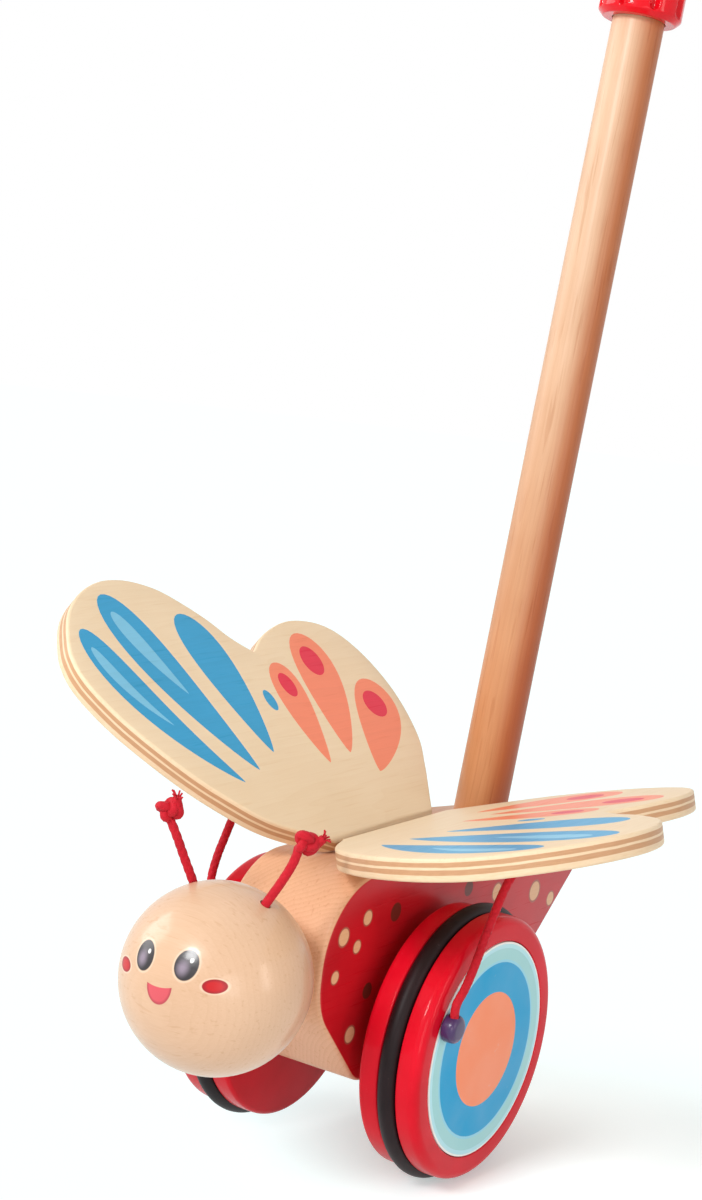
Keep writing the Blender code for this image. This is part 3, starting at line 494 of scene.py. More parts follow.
def floorFinish():
    # takes the toy's shadow near the wheels, and farther out glows as white as the background
    material = bpy.data.materials.new("paleFloor")
    material.use_nodes = True
    tree = material.node_tree
    tree.nodes.remove(tree.nodes["Principled BSDF"])
    shadow, glow = stage["shadow"], stage["glow"]
    away = vectors("LENGTH", vectors("SUBTRACT", objectPlace(tree), shadow["middle"]))
    far = mask(away, *shadow["fade"])
    gray = maths("MULTIPLY_ADD", far, -1.0, 1.0)
    cool = maths("MULTIPLY", gray, shadow["cool"])  # evens out the red light that the wheels throw
    tone = put("CombineColor", {0: gray, 1: cool, 2: cool}).outputs[0]
    shaded = put("BsdfDiffuse", {"Color": tone}).outputs[0]
    power = maths("MULTIPLY_ADD", far, glow["rise"], glow["near"])
    white = put("Emission", {"Color": glow["color"], "Strength": power}).outputs[0]
    shown = put("AddShader", {0: shaded, 1: white}).outputs[0]
    plain = put("BsdfDiffuse", {"Color": (0.85, 0.85, 0.85, 1.0)}, tree).outputs[0]
    surface = put("MixShader", {0: seenDirectly(tree), 1: plain, 2: shown}).outputs[0]
    tree.links.new(surface, tree.nodes["Material Output"].inputs["Surface"])
    return material


def makeStage():
    scene = bpy.context.scene
    scene.view_settings.view_transform = "Standard"
    scene.world = bpy.data.worlds.new("studio")
    scene.world.use_nodes = True
    tree = scene.world.node_tree
    background = tree.nodes["Background"].inputs
    background["Color"].default_value = (1.0, 1.0, 1.0, 1.0)
    light = stage["worldLight"]
    strength = maths("MULTIPLY_ADD", seenDirectly(tree), 1.0 - light, light)
    tree.links.new(strength, background["Strength"])

    for name, (place, aim, size, power, color) in stage["lamps"].items():
        lamp = bpy.data.lights.new(name, "AREA")
        lamp.shape, lamp.energy, lamp.color = "RECTANGLE", power, color
        lamp.size, lamp.size_y = size
        addObject(name, lamp).matrix_world = standOn(Vector(place) - Vector(aim), place)

    shape = bmesh.new()
    bmesh.ops.create_circle(shape, cap_ends=True, segments=96, radius=2.5)
    floor = addObject("floor", finishMesh(shape))
    floor.location.z = stage["floorHeight"]
    floor.data.materials.append(floorFinish())


makeCamera()
makeStage()
print("camera, floor and lights placed")


# Body: a beech block with painted sides

body = {
    "width": 0.036,
    "corners": [  # (y, z, corner radius)
        (-0.057, 0.065, 0.025), (-0.057, 0.0278, 0.022), (-0.0301, 0.0, 0.012), (0.0469, 0.0, 0.026),
        (0.1133, 0.0583, 0.005), (0.0489, 0.065, 0.0598),
    ],
    "edge": (0.0015, 4),
    "axleBore": 0.0033, "axleHeight": 0.0115,
    "headBore": 0.0053, "headBoreDepth": 0.0130,
    "stickBore": 0.0088, "socketDepth": 0.034,
    "wood": {
        "light": "#e6b592", "dark": "#bf8256", "pith": (0.05, 0.02, 0.0), "rings": 0.0013, "waviness": 0.9,
        "ringStrength": 0.7, "turn": (90, 0, 0), "roughness": 0.36,
    },
    "paint": {"color": "#c8101f", "shade": "#b80c1a", "pale": "#e05a5e", "spotRim": "#a85a4c", "dark": "#6e2a20",
              "spotWood": "#eec08e"},
    "spots": [  # (y, z, diameter) of the bare wood spots
        (-0.0347, 0.0522, 0.0046), (-0.0469, 0.0486, 0.0055), (-0.0389, 0.0442, 0.0040), (-0.0492, 0.0369, 0.0040),
        (0.0704, 0.0419, 0.0068), (0.0825, 0.0372, 0.0048), (0.0440, 0.0462, 0.0058), (0.0585, 0.0240, 0.0052),
        (0.0960, 0.0520, 0.0050), (-0.0230, 0.0075, 0.0060), (0.0030, 0.0420, 0.0052), (0.0410, 0.0140, 0.0064),
        (-0.0370, 0.0170, 0.0052),
    ],
    "darkSpots": [
        (-0.0188, 0.0511, 0.0058), (0.0249, 0.0508, 0.0052), (0.0560, 0.0560, 0.0050), (-0.0300, 0.0290, 0.0050),
    ],
}
stick = {
    "lean": 8.5, "place": 0.0587, "radius": 0.0085, "shows": 0.263, "upperShows": 0.168, "tenon": 0.0055,
    "collarLength": 0.033, "collarRadius": 0.0136, "seat": 0.008, "knobRadius": 0.018, "knobBore": 0.016,
    "wood": {
        "light": "#dfbb9b", "dark": "#b47c52", "pith": (0.012, 0.03, 0.0), "rings": 0.0016, "waviness": 1.3,
        "ringStrength": 0.35, "turn": (0, 0, 0), "roughness": 0.4, "lacquer": 0.15,
        "foot": "#ecc6a0", "footFade": (0.24, 0.03),
        # painted shade: a darker colour multiplied down the stick's side that faces away from the lamps
        "paintedShade": "#d9a078", "paintedShadeSide": (0.86, 0.5, 0.0), "paintedShadeFade": (-0.0022, 0.0055),
    },
}
lean = radians(stick["lean"])
stickAxis = Vector((0.0, sin(lean), cos(lean)))
tail, bend = body["corners"][4], body["corners"][5]
topAtStick = bend[1] + (tail[1] - bend[1]) * (stick["place"] - bend[0]) / (tail[0] - bend[0])
stickFoot = Vector((0.0, stick["place"], topAtStick))


def alongStick(distance):
    return standOn(stickAxis, stickFoot + stickAxis * distance)


def nearestSpot(place, spots):
    # the smallest oval distance to any of the spots
    nearest = None
    for y, z, size in spots:
        here = fromOval(place, (y, z), (size / 2, size / 2))
        nearest = here if nearest is None else maths("MINIMUM", nearest, here)
    return nearest


def bodyFinish():
    material, place = newMaterial("bodyFinish", Coat_Weight=0.08, Coat_Roughness=0.2, Specular_IOR_Level=0.2)
    wood, paint, side = body["wood"], body["paint"], body["width"] / 2
    grain = grainOf(place, wood)
    marks = wearOf(place, 0.25, 0.28)
    parts = split(place)
    flat = flatten(parts["Y"], parts["Z"])
    red = mix(marks["Mottle"], paint["color"], paint["shade"])
    red = mix(maths("MULTIPLY", grain["Height"], 0.25), red, paint["pale"])
    light, dark = nearestSpot(flat, body["spots"]), nearestSpot(flat, body["darkSpots"])
    printed = mix(mask(light, 1.22, 1.05), red, paint["spotRim"])
    bare = mix(0.45, grain["Color"], paint["spotWood"])
    printed = mix(mask(light, 1.0, 0.88), printed, bare)
    printed = mix(mask(dark, 1.08, 0.92), printed, paint["dark"])
    painted = mask(maths("ABSOLUTE", parts["X"]), side - 0.0003, side - 0.0001)
    rough = maths("ADD", grain["Roughness"], wood["roughness"])
    rough = maths("MULTIPLY_ADD", painted, -0.12, rough)
    return dress(material, mix(painted, grain["Color"], printed), rough, grain["Height"], 0.0001, 0.4)


def makeBody():
    mesh = plateMesh(roundCorners(body["corners"], 3.0), body["width"])
    mesh.transform(Matrix(((0, 0, 1, 0), (1, 0, 0, 0), (0, 1, 0, 0), (0, 0, 0, 1))))  # stood up
    piece = addPiece("toyBody", mesh, bodyFinish(), node="body_block")
    cutters = [
        rodCutter(body["axleBore"], 0.05, across, (-0.025, 0.0, body["axleHeight"])),
        rodCutter(body["headBore"], body["headBoreDepth"] + 0.002, back, (0.0, -0.059, head["middle"][2])),
        rodCutter(body["stickBore"], 0.06, stickAxis, stickFoot - stickAxis * body["socketDepth"], 64),
    ]
    for side in sides.values():
        for y in hinge["eyes"]:
            cutters.append(rodCutter(hinge["wire"] / 2 + gap, 0.012, upward, (side * hinge["x"], y, 0.055), 16))
    cutOut(piece, cutters, body["edge"])


# Head: a turned ball with a printed face

head = {
    "middle": (0.0, -0.08345, 0.0391), "radius": 0.0274, "flat": 0.02615, "bore": 0.0053, "boreDepth": 0.014,
    "holeDepth": 0.0038, "faceTurn": 3.3,
    "wood": {
        "light": "#e0bc9c", "dark": "#c0916a", "pith": (0.02, 0.09, 0.0), "rings": 0.0016, "waviness": 0.6,
        "ringStrength": 0.3, "turn": (0, 90, 20), "roughness": 0.32,
    },
    # the eye's glow colour is a painted highlight: a soft lighter patch low and to the left in the dark ink
    "eye": {"middle": (0.0069, 0.0099), "reach": (0.0033, 0.00395), "color": "#1f181d", "rim": "#231c20",
            "glow": "#8a7c8c"},
    "sparkle": {"offset": (0.0012, 0.0014), "reach": 0.0005, "color": "#fbf7f5"},
    "halo": "#fbe4cc",
    "cheek": {"middle": (0.0150, 0.0053), "reach": (0.0029, 0.0019), "color": "#c20a14", "rim": "#9c0e1c"},
    "mouth": {"middle": (0.0001, 0.0034), "reach": (0.0041, 0.0052), "color": "#d44e59", "rim": "#b43a46"},
    "coat": 0.5, "mattInk": 0.4,
}


def faceFinish():
    material, place = newMaterial("headFinish", Coat_Roughness=0.16, Specular_IOR_Level=0.35)
    wood, cheek, mouth, eye, sparkle = (head[part] for part in ("wood", "cheek", "mouth", "eye", "sparkle"))
    grain = grainOf(place, wood)
    # seen from the front, the print lies flat: its own x across and y up
    parts = split(vectors("SUBTRACT", place, head["middle"]))
    turn = {"Vector": flatten(parts["X"], parts["Z"]), "Angle": radians(-head["faceTurn"])}
    level = put("VectorRotate", turn, rotation_type="Z_AXIS").outputs[0]
    axes = split(level)
    folded = flatten(maths("ABSOLUTE", axes["X"]), axes["Y"])

    halo = mix(0.35, grain["Color"], head["halo"])
    far = fromOval(folded, cheek["middle"], cheek["reach"])
    inked = mask(far, 1.05, 0.96)
    red = mix(mask(far, 0.5, 0.95), cheek["color"], cheek["rim"])
    face = mix(mask(far, 1.3, 1.1), grain["Color"], halo)
    face = mix(inked, face, red)
    coat = maths("MULTIPLY_ADD", inked, -head["mattInk"], head["coat"])

    far = fromOval(level, mouth["middle"], mouth["reach"])
    dip = maths("MULTIPLY", axes["X"], axes["X"])
    lip = maths("MULTIPLY_ADD", dip, 34.0, mouth["middle"][1] - 0.0004)
    under = mask(maths("SUBTRACT", lip, axes["Y"]), -0.00008, 0.00008)
    pink = mix(mask(far, 0.78, 0.97), mouth["color"], mouth["rim"])
    face = mix(maths("MULTIPLY", mask(far, 1.03, 0.97), under), face, pink)

    iris, (out, up), (wide, tall) = eye["color"], eye["middle"], eye["reach"]
    for side in sides.values():
        # a painted highlight: a soft lighter patch low and to the left in each eye
        glow = fromOval(level, (side * out - 0.0008, up - 0.0008), (wide * 0.72, tall * 0.72))
        iris = mix(mask(glow, 1.1, 0.1), iris, eye["glow"])
        spot = (side * out + sparkle["offset"][0], up + sparkle["offset"][1])
        light = fromOval(level, spot, (sparkle["reach"], sparkle["reach"] * 1.15))
        iris = mix(mask(light, 1.25, 0.8), iris, sparkle["color"])
    far = fromOval(folded, eye["middle"], eye["reach"])
    rim = mix(mask(far, 0.86, 1.0), iris, eye["rim"])
    face = mix(mask(far, 1.22, 1.08), face, halo)
    face = mix(mask(far, 1.05, 0.96), face, rim)

    color = mix(mask(parts["Y"], 0.0, -0.004), grain["Color"], face)
    rough = grain["Roughness"], wood["roughness"]
    return dress(material, color, rough, grain["Height"], 0.00008, 0.35, Coat_Weight=coat)


antenna = {
    "spread": 27.0, "back": 4.0, "cordRadius": 0.0013, "knotSize": 0.00088, "strands": 9,
    "routes": {
        "right": [(0.0145, -0.0787, 0.0693), (0.0163, -0.0768, 0.0745), (0.0180, -0.0754, 0.0792)],
        "left": [(-0.0146, -0.0841, 0.0702), (-0.0164, -0.0862, 0.0762), (-0.0180, -0.0880, 0.0818)],
    },
    "knotTurn": {"right": 51.6, "left": 19.6},
}


def antennaAxis(side):
    spread, lift = radians(antenna["spread"]), radians(antenna["back"])
    rise = Vector((0.0, sin(lift), cos(lift)))
    return rise * cos(spread) + across * side * sin(spread)


def makeHead():
    radius, flat = head["radius"], head["flat"]
    profile = arcPoints((0.0, 0.0), radius, 90.0, -degrees(asin(flat / radius)), 48)
    profile[0] = (0.0, radius)
    floor = head["boreDepth"] - flat
    profile += [(head["bore"], -flat), (head["bore"], floor), (0.0, floor)]
    mesh = latheMesh(profile, 96)
    mesh.transform(standOn(-back, head["middle"]))
    piece = addPiece("headBall", mesh, faceFinish(), node="head_ball")
    cutters = []
    for side in sides.values():
        start = Vector(head["middle"]) + antennaAxis(side) * (radius - head["holeDepth"])
        cutters.append(rodCutter(antenna["cordRadius"] + 0.0004, 0.01, antennaAxis(side), start, 24))
    cutOut(piece, cutters)


# Braided cords

cords = {"light": "#d4142a", "dark": "#7c0a18", "lay": 0.0052, "relief": 0.0004, "step": 0.00045, "around": 20}


def braid(turn, run):
    # two sets of strands that wind opposite ways round the cord
    lay = run * 2 * pi / cords["lay"]
    ridge = max(abs(cos(2 * turn + lay)), abs(cos(2 * turn - lay)))
    return cords["relief"] * (ridge - 0.85)


def cordFinish():
    material, place = newMaterial("redBraid", Sheen_Weight=0.06, Sheen_Roughness=0.5, Specular_IOR_Level=0.25)
    yarn, cloud = noise(place, 1500, 3, 0.7), noise(place, 160, 2)
    share = maths("MULTIPLY_ADD", cloud, 0.5, maths("MULTIPLY", yarn, 0.6))
    share = maths("SUBTRACT", share, 0.25, clamp=True)
    rough = maths("MULTIPLY_ADD", yarn, 0.3, 0.55)
    return dress(material, mix(share, cords["light"], cords["dark"]), rough, yarn, 0.00012, 0.6)


def knotLine(size):
    # an overhand knot in local XZ, with the cord coming up from below
    knot = [(-0.5, 0.3, -4.6), (-0.9, 0.6, -3.2)]
    for i in range(31):
        t = (pi - 0.5) * (1 - 2 * i / 30)
        knot.append((sin(t) + 2 * sin(2 * t), -1.25 * sin(3 * t), cos(t) - 2 * cos(2 * t)))
    knot += [(2.2, 0.5, -2.6), (3.2, 0.4, -1.6), (3.5, 0.2, 0.2), (3.8, 0.0, 2.0), (4.4, -0.3, 3.6)]
    return [Vector(point) * size for point in knot]


def makeAntennas():
    red, size, radius = cordFinish(), antenna["knotSize"], antenna["cordRadius"]
    for word, side in sides.items():
        surface = Vector(head["middle"]) + antennaAxis(side) * head["radius"]
        foot = surface - antennaAxis(side) * (head["holeDepth"] - gap)
        route = [foot, surface, *map(Vector, antenna["routes"][word])]
        rise = (route[-1] - route[-2]).normalized()
        beside = Matrix.Rotation(radians(antenna["knotTurn"][word]), 4, "Z") @ across
        beside = (beside - rise * beside.dot(rise)).normalized()
        place = Matrix.Translation(route[-1]) @ Matrix((beside, rise.cross(beside), rise)).transposed().to_4x4()
        knot = [place @ (point + upward * 3.0 * size) for point in knotLine(size)]
        line = evenLine([*route[:-1], *knot], cords["step"])
        addPiece(f"antenna_{word}_cord", sweepMesh(line, radius, cords["around"], braid), red, sharp=80)
        # the cord's end is frayed into a tuft
        end, ahead = line[-1], (line[-1] - line[-4]).normalized()
        flank = ahead.orthogonal().normalized()
        shape = bmesh.new()
        for k in range(antenna["strands"]):
            swing = 2 * pi * k / antenna["strands"] + 0.3 * (k % 3)
            splay = 0.25 + 0.45 * ((k * 5) % 4) / 3
            out = flank * cos(swing) + ahead.cross(flank) * sin(swing)
            root = end - ahead * 0.0003 + out * radius * 0.55
            bends = [root + (ahead + out * splay * share) * reach for share, reach in ((0.6, 0.0008), (1.5, 0.0016))]
            shape.from_mesh(sweepMesh(smoothLine([root, *bends], 3), 0.00028, 6))
        tuft = addPiece(f"antenna_{word}_tuft", finishMesh(shape), red, replaces=False, sharp=80)
        tuft.data.shade_smooth()
    return red


# Wheels, tyres, printed discs and crank pegs

wheel = {
    "inner": 0.0243, "thickness": 0.0198, "rim": 0.0405, "axleHeight": 0.0115,
    "tyreInset": 0.0097, "tyreRadius": 0.0028, "tyreProud": 0.002,
    "discRadius": 0.033, "discThickness": 0.001, "bore": 0.0033,
    "capRadius": 0.006, "capLength": 0.0045, "capWall": 0.001, "spacerRadius": 0.007,
    "rings": [  # (radius, colour) from the middle out
        (0.0176, "#ff966c"), (0.0268, "#12a4da"), (0.0276, "#98dcf0"), (0.0311, "#a6dee2"), (0.0324, "#baecf6"),
        (0.0335, "#f6faf8"),
    ],
}
peg = {
    "crank": 0.030, "angles": {"right": 26.0, "left": 52.0},
    "headRadius": 0.00425, "headLength": 0.0044, "shankRadius": 0.002, "shankLength": 0.012,
}
discSeat = wheel["thickness"] - wheel["discThickness"] - gap
ringMiddle = wheel["rim"] + wheel["tyreProud"] - wheel["tyreRadius"]


def crankPlace(word):
    angle = radians(peg["angles"][word])
    return Vector((0.0, -peg["crank"] * cos(angle), wheel["axleHeight"] + peg["crank"] * sin(angle)))


def pegMiddle(word):
    out = wheel["inner"] + wheel["thickness"] + gap + peg["headLength"] / 2
    return crankPlace(word) + across * sides[word] * out


def discFinish():
    material, place = newMaterial("printedRings", Coat_Weight=0.05, Coat_Roughness=0.2, Specular_IOR_Level=0.12)
    rings = wheel["rings"]
    away = vectors("LENGTH", vectors("MULTIPLY", place, (1, 1, 0)))
    reach = maths("MULTIPLY_ADD", noise(place, 700, 2), 0.00012, away)
    color = rings[0][1]
    for (radius, _), (_, code) in zip(rings, rings[1:]):
        color = mix(mask(reach, radius - 0.00005, radius + 0.00015), color, code)
    marks = wearOf(place, 0.3, 0.3)
    color = mix(maths("MULTIPLY", marks["Mottle"], 0.06), color, "#ffffff")
    color = mix(maths("MULTIPLY", marks["Scuff"], 0.5), color, "#f2ece6")
    return dress(material, color, marks["Roughness"], marks["Height"], 0.00002, 0.3)


def wheelProfile():
    rim, thickness, bore = wheel["rim"], wheel["thickness"], wheel["bore"]
    half = wheel["tyreRadius"] + gap
    floor = ringMiddle - half
    low, high = wheel["tyreInset"] - half, wheel["tyreInset"] + half
    seat, pocket = wheel["discRadius"] + gap, wheel["capRadius"] + gap
    pocketFloor = discSeat - wheel["capLength"] - 2 * gap
    return roundCorners([
        (seat, thickness, 0.0003), (rim, thickness, 0.003), (rim, high, 0.0006), (floor, high, 0), (floor, low, 0),
        (rim, low, 0.0006), (rim, 0.0, 0.0014), (bore, 0.0, 0.0003), (bore, pocketFloor, 0), (pocket, pocketFloor, 0),
        (pocket, discSeat, 0), (seat, discSeat, 0),
    ], 10.0)


def makeWheels():
    rings, inner, inside = discFinish(), wheel["inner"], wheel["bore"]
    radius, depth, shank, reach = wheel["discRadius"], wheel["discThickness"], peg["shankRadius"], peg["headRadius"]
    for word, side in sides.items():
        rider, outside, crank, middle = f"wheel_{word}", across * side, crankPlace(word), pegMiddle(word)

        def outward(distance, spot=(0.0, 0.0, wheel["axleHeight"])):
            return standOn(outside, Vector(spot) + outside * distance)

        bore = rodCutter(shank + gap, 0.03, outside,
                         crank + outside * (inner + discSeat - peg["shankLength"] - gap))
        piece = addPiece(f"wheel_{word}_painted", latheMesh(wheelProfile(), 128), finishes["redPaint"],
                         outward(inner), rider)
        cutOut(piece, [bore])
        circle = arcPoints((ringMiddle, wheel["tyreInset"]), wheel["tyreRadius"], 0.0, -360.0, 20)[:-1]
        addPiece(f"tyre_{word}_ring", latheMesh(circle, 128), finishes["rubber"], outward(inner), rider)
        corners = [(0.0, depth, 0), (radius, depth, 0.0002), (radius, 0.0, 0.0002), (0.0, 0.0, 0)]
        disc = turned(f"wheel_disc_{word}_printed", corners, 128, rings, outward(inner + wheel["thickness"] - depth),
                      rider)
        cutOut(disc, [bore])

        shoulder = wheel["thickness"] - discSeat + peg["shankLength"] + gap
        top = shoulder + peg["headLength"]
        corners = [(0.0, top, 0), (reach, top, 0.0019), (reach, shoulder, 0.0006), (shank, shoulder, 0),
                   (shank, 0.0, 0.0003), (0.0, 0.0, 0)]
        button = turned(f"crank_peg_{word}_button", corners, 48, finishes["purplePlastic"],
                        outward(inner + discSeat - peg["shankLength"], crank), f"peg_{word}")
        way = Vector(linkCords["routes"][word][0]) - middle
        way.x = 0.0
        cutOut(button, [rodCutter(linkCords["radius"] + gap, 0.01, way, middle)])

        length, wide = wheel["capLength"], wheel["capRadius"]
        grip = length - wheel["capWall"]
        corners = [(0.0, length, 0), (wide, length, 0.0006), (wide, 0.0, 0.0003), (inside, 0.0, 0), (inside, grip, 0),
                   (0.0, grip, 0)]
        turned(f"axle_cap_{word}_pressed", corners, 48, finishes["steel"],
               outward(inner + discSeat - gap - length))
        length, wide = inner - body["width"] / 2 - 2 * gap, wheel["spacerRadius"]
        corners = [(inside, length, 0.0003), (wide, length, 0.0006), (wide, 0.0, 0.0006), (inside, 0.0, 0.0003)]
        turned(f"axle_spacer_{word}_moulded", corners, 48, finishes["spacerPlastic"],
               outward(body["width"] / 2 + gap))


# Wings: plywood with a printed top, on a pin that runs through two wire eyes

wing = {
    "thickness": 0.0065, "angles": {"left": 37.0, "right": 16.0}, "edge": 0.0008,
    "fore": [  # (out from the hinge, back from the axle) in millimetres
        (0.5, -32), (5, -42), (10.5, -50.5), (17.5, -57.5), (28, -65.8), (40, -72.8), (54, -79), (68, -81.8),
        (78, -79.8), (86, -74.5), (93, -68), (98, -61), (101.8, -53), (104.2, -44), (104.4, -36), (102.8, -28),
        (98.6, -19.2), (92, -12.3), (84.4, -6.3), (76.4, -1.8), (69.7, 4.2),
    ],
    "hind": [
        (69.7, 4.2), (76.2, 17), (79.8, 35.2), (75.5, 51.8), (63.4, 60), (45.3, 61.3), (26.5, 55), (13.4, 44.6),
    ],
    "straight": (29.0, -25.0),
    "cordHole": (0.048, -0.003), "cordHoleDepth": 0.0038,
    "ply": {
        "light": "#f1dab8", "dark": "#e2c196", "pale": "#f0dabc", "brown": "#cfa27a", "deep": "#bd8c64",
        "pith": (0.03, 0.05, 0.0), "rings": 0.0034, "waviness": 1.6, "ringStrength": 0.5, "turn": (90, 0, 0),
        "layers": [  # (the height that each starts below, its two colours), as the rim shows them
            (0.0022, "brown", "deep"), (0.0009, "pale", "dark"), (0.0002, "deep", "brown"), (-0.0012, "pale", "dark"),
        ],
    },
    "inks": {"blue": "#2b9fd0", "sky": "#7cc6e6", "coral": "#fa8c68", "crimson": "#e6193f"},
    "petals": [  # (ink, root, tip, half width, sideways bend) in millimetres
        ("blue", (24, -47), (87, -68), 7.2, -5.0), ("blue", (27, -36.5), (99, -47.5), 9.4, -2.0),
        ("blue", (32, -24), (88, -17.5), 8.8, 0.8), ("sky", (48, -59), (80, -69), 2.4, -2.4),
        ("sky", (58, -42), (92, -48.5), 3.4, -0.8), ("coral", (24, -1), (64, 11), 7.0, -0.8),
        ("coral", (26, 12.5), (73.5, 35.5), 9.6, 0.6), ("coral", (17, 20), (50, 54), 9.4, 0.8),
    ],
    "ovals": [  # (ink, middle, half length, half width, turn) in millimetres and degrees
        ("blue", (50.5, -6.4), 4.2, 2.3, 12), ("crimson", (55.0, 7.9), 5.0, 3.4, 16),
        ("crimson", (62.5, 29.8), 6.4, 4.8, 27), ("crimson", (41.8, 45.0), 6.0, 5.0, 46),
    ],
}
hinge = {"x": 0.0045, "z": 0.0686, "pinRadius": 0.0007, "wire": 0.0011, "eyes": (-0.0158, 0.0198), "shankDepth": 0.01}


def petalOutline(root, tip, half, sway):
    # a drop shape with its point at the root and a round end at the tip
    root, tip = Vector(root), Vector(tip)
    axis = tip - root
    beside = Vector((-axis.y, axis.x)).normalized()
    count = 22
    outline = []
    for i in range(2 * count):
        turn = pi * i / count
        t = (1 - cos(turn)) / 2
        width = half * 1.62 * t ** 0.75 * sqrt(max(0.0, 1 - t ** 3))
        way = -1 if i <= count else 1
        outline.append(root + axis * t + beside * (way * width + 4 * sway * t * (1 - t)))
    return outline


def wingOutline():
    curve = smoothLine([(x, y, 0.0) for x, y in wing["fore"]], 6)
    curve += smoothLine([(x, y, 0.0) for x, y in wing["hind"]], 6)[1:]
    inner = -wing["thickness"] / 2 * 1000
    rear, front = wing["straight"]
    points = [(p.x, p.y) for p in curve] + [(inner, rear), (inner, front)]
    return [Vector((x / 1000, y / 1000)) for x, y in points]


def insetLoop(outline, distance):
    # the outline moved inward by a distance
    loop = []
    for i, point in enumerate(outline):
        before = (point - outline[i - 1]).normalized()
        after = (outline[(i + 1) % len(outline)] - point).normalized()
        inward = Vector((-(before.y + after.y), before.x + after.x)).normalized()
        slack = max(0.5, inward.dot(Vector((-before.y, before.x))))
        loop.append(point + inward * distance / slack)
    return loop


def wingMesh(side):
    # rounded rims from stacked loops, and a top face that is split along the print's outlines
    outline = wingOutline()
    half, edge = wing["thickness"] / 2, wing["edge"]
    levels = []
    for turn in range(0, 91, 18):
        angle = radians(turn)
        levels.append((edge * (1 - cos(angle)), half - edge + edge * sin(angle)))
    shape = bmesh.new()
    loops = []
    for inset, height in [(i, -h) for i, h in reversed(levels)] + levels:
        loops.append([shape.verts.new((side * p.x, p.y, height)) for p in insetLoop(outline, inset)])
    joinLoops(shape, loops)
    shape.faces.new(loops[0])

    top = insetLoop(outline, levels[-1][0])
    points, cells, inks = list(top), [list(range(len(top)))], [0]
    inkOrder = list(wing["inks"])
    drawn = [(ink, petalOutline(*rest)) for ink, *rest in wing["petals"]]
    for ink, middle, length, width, turn in wing["ovals"]:
        tilt = Matrix.Rotation(radians(turn), 2)
        ring = [Vector((length * x, width * y)) for x, y in arcPoints((0.0, 0.0), 1.0, 0.0, 360.0, 32)[:-1]]
        drawn.append((ink, [tilt @ spot + Vector(middle) for spot in ring]))
    for ink, cell in drawn:
        cells.append(list(range(len(points), len(points) + len(cell))))
        points += [spot / 1000 for spot in cell]
        inks.append(1 + inkOrder.index(ink))
    spots, _, faces, _, _, sources = delaunay_2d_cdt(points, [], cells, 1, 1e-7)
    verts = [shape.verts.new((side * spot.x, spot.y, half)) for spot in spots]
    for corners, source in zip(faces, sources):
        face = shape.faces.new([verts[i] for i in corners])
        face.material_index = inks[max(source)] if source else 0
    bmesh.ops.remove_doubles(shape, verts=shape.verts, dist=1e-7)
    return finishMesh(shape)


def plyFinish():
    material, place = newMaterial("plywood", Coat_Weight=0.1, Coat_Roughness=0.3, Specular_IOR_Level=0.3)
    ply = wing["ply"]
    grain = grainOf(place, ply)
    height, fibre = split(place)["Z"], noise(place, (300, 300, 3000), 2)
    level = maths("MULTIPLY_ADD", noise(place, (90, 90, 500), 3), 0.0004, height)
    color = grain["Color"]
    for start, light, dark in ply["layers"]:
        layer = mix(fibre, ply[light], ply[dark])
        color = mix(mask(level, start + 0.0002, start), color, layer)
    face = mask(maths("ABSOLUTE", height), 0.00318, 0.00323)
    color = mix(face, color, grain["Color"])
    return dress(material, color, (grain["Roughness"], 0.4), grain["Height"], 0.0001, 0.4)


def inkFinish(name, code):
    material, place = newMaterial(f"{name}Ink", Coat_Weight=0.08, Coat_Roughness=0.25, Specular_IOR_Level=0.25)
    grain = grainOf(place, {**wing["ply"], "light": "#ffffff", "dark": "#d4cdc4"})
    color = mix(0.55, code, grain["Color"], "MULTIPLY")
    return dress(material, color, (grain["Roughness"], 0.3), grain["Height"], 0.00008, 0.35)


def wingPlace(word):
    side = sides[word]
    turn = Matrix.Rotation(radians(-side * wing["angles"][word]), 4, "Y")
    return Matrix.Translation((side * hinge["x"], 0.0, hinge["z"])) @ turn


def hingeCutters(word, side):
    # the round about the hinge axis, the pin's bore, the eyes' slots and the cord's hole
    place, half = wingPlace(word), wing["thickness"] / 2
    far, length = half + 0.002, 0.0716
    standing = Matrix.Rotation(radians(90), 4, "X")
    rear = wing["straight"][0] / 1000
    corner = [(0.0, far), (-far, far), (-far, -far), (0.0, -far)] + arcPoints((0.0, 0.0), half, 270.0, 90.0, 24)
    edge = plateMesh([(side * x, y) for x, y in corner], length)
    cutters = [(edge, place @ Matrix.Translation((0.0, rear + 0.002 - length / 2, 0.0)) @ standing)]
    start = place @ Vector((0.0, rear - 0.002 + gap, 0.0))
    cutters.append(rodCutter(hinge["pinRadius"] + gap, 0.13, -back, start, 24))
    reach = hinge["pinRadius"] + 2 * gap + hinge["wire"]
    near = hinge["wire"] / 2 + 2 * gap
    lean = degrees(asin(-near / reach))
    slot = [(-far, 0.0), (-far, -far), (near, -far), (near, -reach)]
    slot += arcPoints((0.0, 0.0), reach, 270.0 - lean, 540.0, 24)
    for y in hinge["eyes"]:
        mesh = plateMesh([(side * x, z) for x, z in slot], hinge["wire"] + 4 * gap)
        cutters.append((mesh, place @ Matrix.Translation((0.0, y, 0.0)) @ standing))
    out, along = wing["cordHole"]
    floor = place @ Vector((side * out, along, wing["cordHoleDepth"] - half))
    cutters.append(rodCutter(linkCords["radius"] + 0.0004, 0.01, place.to_3x3() @ -upward, floor, 24))
    return cutters


